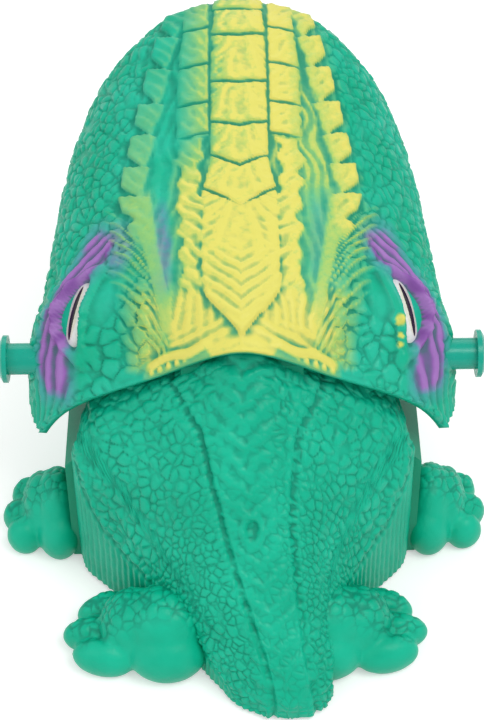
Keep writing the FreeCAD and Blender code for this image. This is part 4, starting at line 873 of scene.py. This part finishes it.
def eyes():
    """Glossy eyeballs behind the lids, with painted pupils."""
    bulge = np.cross(EYE_LONG, EYE_ACROSS)
    for side, node in ((1, "eye_left"), (-1, "eye_right")):
        mesh = bmesh.new()
        bmesh.ops.create_uvsphere(mesh, u_segments=96, v_segments=64, radius=1.0)
        data = bpy.data.meshes.new(node + "_ball")
        mesh.to_mesh(data)
        unit = points_of(data) * MM
        u, v, w = unit[:, 0] * 14.0, unit[:, 1] * 6.6, unit[:, 2] * 4.6
        place = (EYE - bulge * 4.0 + np.outer(u, EYE_LONG)
                 + np.outer(v - 1.0, EYE_ACROSS) + np.outer(w, bulge))
        place[:, 0] *= side
        data.vertices.foreach_set("co", (place * MM).ravel())
        if side < 0:
            data.flip_normals()
        for label, value in (("pupil", step(1.1, 0.9, np.sqrt((u / 10.2) ** 2 + ((v - 0.5) / 1.25) ** 2))),
                             ("iris", step(1.2, 0.8, np.sqrt((u / 10.0) ** 2 + ((v - 0.5) / 2.6) ** 2)))):
            layer = data.attributes.new(label, "FLOAT", "POINT")
            layer.data.foreach_set("value", (value * (w > 0)).astype(np.float32))
        data.shade_smooth()
        piece = bpy.data.objects.new(node + "_ball", data)
        bpy.context.scene.collection.objects.link(piece)
        dress(piece, FINISHED["eye_white"], "head", "eye_white", node)


# --- feet ----------------------------------------------------------------------

def ball(mesh, centre, radii, turn=0.0):
    """Add an ellipsoid to a bmesh, turned about the vertical."""
    place = Matrix.Translation(Vector(centre) * MM) @ Matrix.Rotation(turn, 4, "Z")
    bmesh.ops.create_uvsphere(mesh, u_segments=32, v_segments=20, radius=MM,
                              matrix=place @ Matrix.Diagonal((*radii, 1.0)))


def joined(name, balls, voxel=0.9, smooth=6):
    """One closed skin round a group of ellipsoids."""
    mesh = bmesh.new()
    for centre, radii, *turn in balls:
        ball(mesh, centre, radii, *turn)
    data = bpy.data.meshes.new(name)
    mesh.to_mesh(data)
    piece = bpy.data.objects.new(name, data)
    bpy.context.scene.collection.objects.link(piece)
    merge = piece.modifiers.new("merge", "REMESH")
    merge.mode = "VOXEL"
    merge.voxel_size = voxel * MM
    soft = piece.modifiers.new("soft", "SMOOTH")
    soft.factor, soft.iterations = 0.5, smooth
    applied(piece)
    return piece


def applied(piece):
    """Replace the piece's mesh by the result of its modifiers."""
    seen = piece.evaluated_get(bpy.context.evaluated_depsgraph_get())
    result = bpy.data.meshes.new_from_object(seen)
    piece.modifiers.clear()
    old, piece.data = piece.data, result
    bpy.data.meshes.remove(old)


def points_of(mesh):
    values = np.zeros(len(mesh.vertices) * 3)
    mesh.vertices.foreach_get("co", values)
    return values.reshape(-1, 3) / MM


def normals_of(mesh):
    values = np.zeros(len(mesh.vertices) * 3)
    mesh.vertices.foreach_get("normal", values)
    return values.reshape(-1, 3)


def foot(name, side, low, high):
    """A stubby foot: a scaled hand with three toes outwards and a smooth heel."""
    width, length, tall = high[0] - low[0], high[1] - low[1], high[2]
    inner, centre = low[0], (low[1] + high[1]) / 2
    def at(x, y, z):
        return (side * (inner + x * width), centre + y * length, z * tall)
    balls = [
        (at(0.22, 0.02, 0.40), (0.36 * width, 0.36 * length, 0.60 * tall)),
        (at(0.46, -0.03, 0.34), (0.30 * width, 0.34 * length, 0.52 * tall)),
        (at(0.20, 0.24, 0.30), (0.32 * width, 0.26 * length, 0.38 * tall)),
    ]
    for share, reach in ((-0.30, 0.70), (-0.02, 0.80), (0.24, 0.72)):
        size = (0.26 * width, 0.15 * length, 0.26 * tall)
        balls.append((at(reach, share, 0.22), size, side * share * -0.9))
    piece = joined(name, balls)
    points, normal = points_of(piece.data), normals_of(piece.data)
    x, y, z = points.T
    palm = step(0.30, 0.42, z / tall) * step(0.30, 0.10, (y - centre) / length)
    bumps = pebbles(points, 4.4, 300 + int(centre)) - 0.4
    height = bumps * 0.75 * palm + 0.15 * layered(points, 4.0, 310)
    points = points + normal * height[:, None]
    points[:, 2] = np.maximum(points[:, 2], 0.0)
    piece.data.vertices.foreach_set("co", (points * MM).ravel())
    # Painted shade in the grooves between the foot's bumps.
    shade = piece.data.attributes.new("groove", "FLOAT", "POINT")
    shade.data.foreach_set("value", np.clip(0.5 - bumps * palm, 0, 1).astype(np.float32))
    piece.data.shade_smooth()
    return dress(piece, BODY_SKIN, "body", "green_skin", name.replace("_skin", ""))


def feet():
    for node in ("front_left_foot", "front_right_foot", "rear_left_foot", "rear_right_foot"):
        low, high = (np.array(corner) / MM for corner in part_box(node))
        side = 1 if high[0] > 0 and low[0] > 0 else -1
        if side < 0:
            low[0], high[0] = -high[0], -low[0]
        foot(node + "_skin", side, low, high)


# --- carried-over nodes --------------------------------------------------------

SLOT_OF = {item["node"]: item["material_slot"] for item in frame["record"]["subparts"]}


def finish_nodes():
    """Every CAD node that stays visible gets the finish of its material slot."""
    for name, piece in frame["nodes"].items():
        piece.data.materials.clear()
        piece.data.materials.append(FINISHED[SLOT_OF[name]])


# --- stage, light and camera ---------------------------------------------------

FLOOR_SIZE = 8.0
FLOOR_GLOW = 0.42      # added to the floor's own light, for the camera and reflections only
WORLD_LIGHT, WORLD_SEEN = 0.64, 1.0         # strength of the white world, and as the camera sees it
VIEW_TARGET = (0.0, 0.010, 0.075)
VIEW_DISTANCE, VIEW_ELEVATION, VIEW_ROLL = 0.76, 45, -0.7
SENSOR_HEIGHT = 24.0
LENS = 200 / 3         # focal length, in millimetres like the sensor's height
LAMPS = (              # name, place, size and power
    ("key", (-0.45, 0.45, 1.1), 0.6, 6.2),
    ("fill", (0.8, 0.6, 0.7), 0.9, 2.4),
    ("front", (0.0, -0.9, 0.8), 0.8, 2.6),
)


def backdrop_finish():
    """A pale floor that the camera and reflections see as white, with the shadows kept."""
    s = Shader("backdrop")
    path = s.tree.nodes.new("ShaderNodeLightPath")
    seen = path.outputs["Is Camera Ray"]
    for other in ("Is Glossy Ray", "Is Transmission Ray"):
        seen = s.sum("MAXIMUM", seen, path.outputs[other])
    s.set(Base_Color=linear(226, 226, 225), Roughness=0.9)
    glow = s.tree.nodes.new("ShaderNodeEmission")
    glow.inputs["Color"].default_value = (1, 1, 1, 1)
    s.link(s.sum("MULTIPLY", seen, FLOOR_GLOW), glow.inputs["Strength"])
    both = s.tree.nodes.new("ShaderNodeAddShader")
    s.tree.links.new(s.surface.outputs[0], both.inputs[0])
    s.tree.links.new(glow.outputs[0], both.inputs[1])
    s.tree.links.new(both.outputs[0], s.output.inputs["Surface"])
    return s.material


def stage():
    bpy.ops.mesh.primitive_plane_add(size=FLOOR_SIZE)
    floor = bpy.context.object
    floor.name = "floor"
    floor.data.materials.append(backdrop_finish())


def world():
    item = bpy.data.worlds.new("studio")
    item.use_nodes = True
    tree = item.node_tree
    back = tree.nodes["Background"]
    path = tree.nodes.new("ShaderNodeLightPath")
    glow = tree.nodes.new("ShaderNodeMapRange")
    tree.links.new(path.outputs["Is Camera Ray"], glow.inputs["Value"])
    glow.inputs["To Min"].default_value = WORLD_LIGHT
    glow.inputs["To Max"].default_value = WORLD_SEEN
    tree.links.new(glow.outputs["Result"], back.inputs["Strength"])
    back.inputs["Color"].default_value = (1, 1, 1, 1)
    bpy.context.scene.world = item


def lamp(name, place, size, power, aim=(0, 0, 0.06)):
    data = bpy.data.lights.new(name, "AREA")
    data.size, data.energy = size, power
    item = bpy.data.objects.new(name, data)
    item.location = place
    item.rotation_euler = (Vector(aim) - Vector(place)).to_track_quat("-Z", "Y").to_euler()
    bpy.context.scene.collection.objects.link(item)


def camera():
    target, elevation = Vector(VIEW_TARGET), math.radians(VIEW_ELEVATION)
    place = target + VIEW_DISTANCE * Vector((0, math.cos(elevation), math.sin(elevation)))
    data = bpy.data.cameras.new("camera")
    data.sensor_fit, data.sensor_height = "VERTICAL", SENSOR_HEIGHT
    data.lens = LENS
    item = bpy.data.objects.new("camera", data)
    aim = (target - place).to_track_quat("-Z", "Y")
    item.rotation_euler = (aim.to_matrix() @ Matrix.Rotation(math.radians(VIEW_ROLL), 3, "Z")).to_euler()
    item.location = place
    bpy.context.scene.collection.objects.link(item)
    bpy.context.scene.camera = item


camera()
finish_nodes()
head()
torso()
jaw()
eyes()
feet()
stage()
world()
for made in LAMPS:
    lamp(*made)
bpy.context.scene.view_settings.view_transform = "Standard"
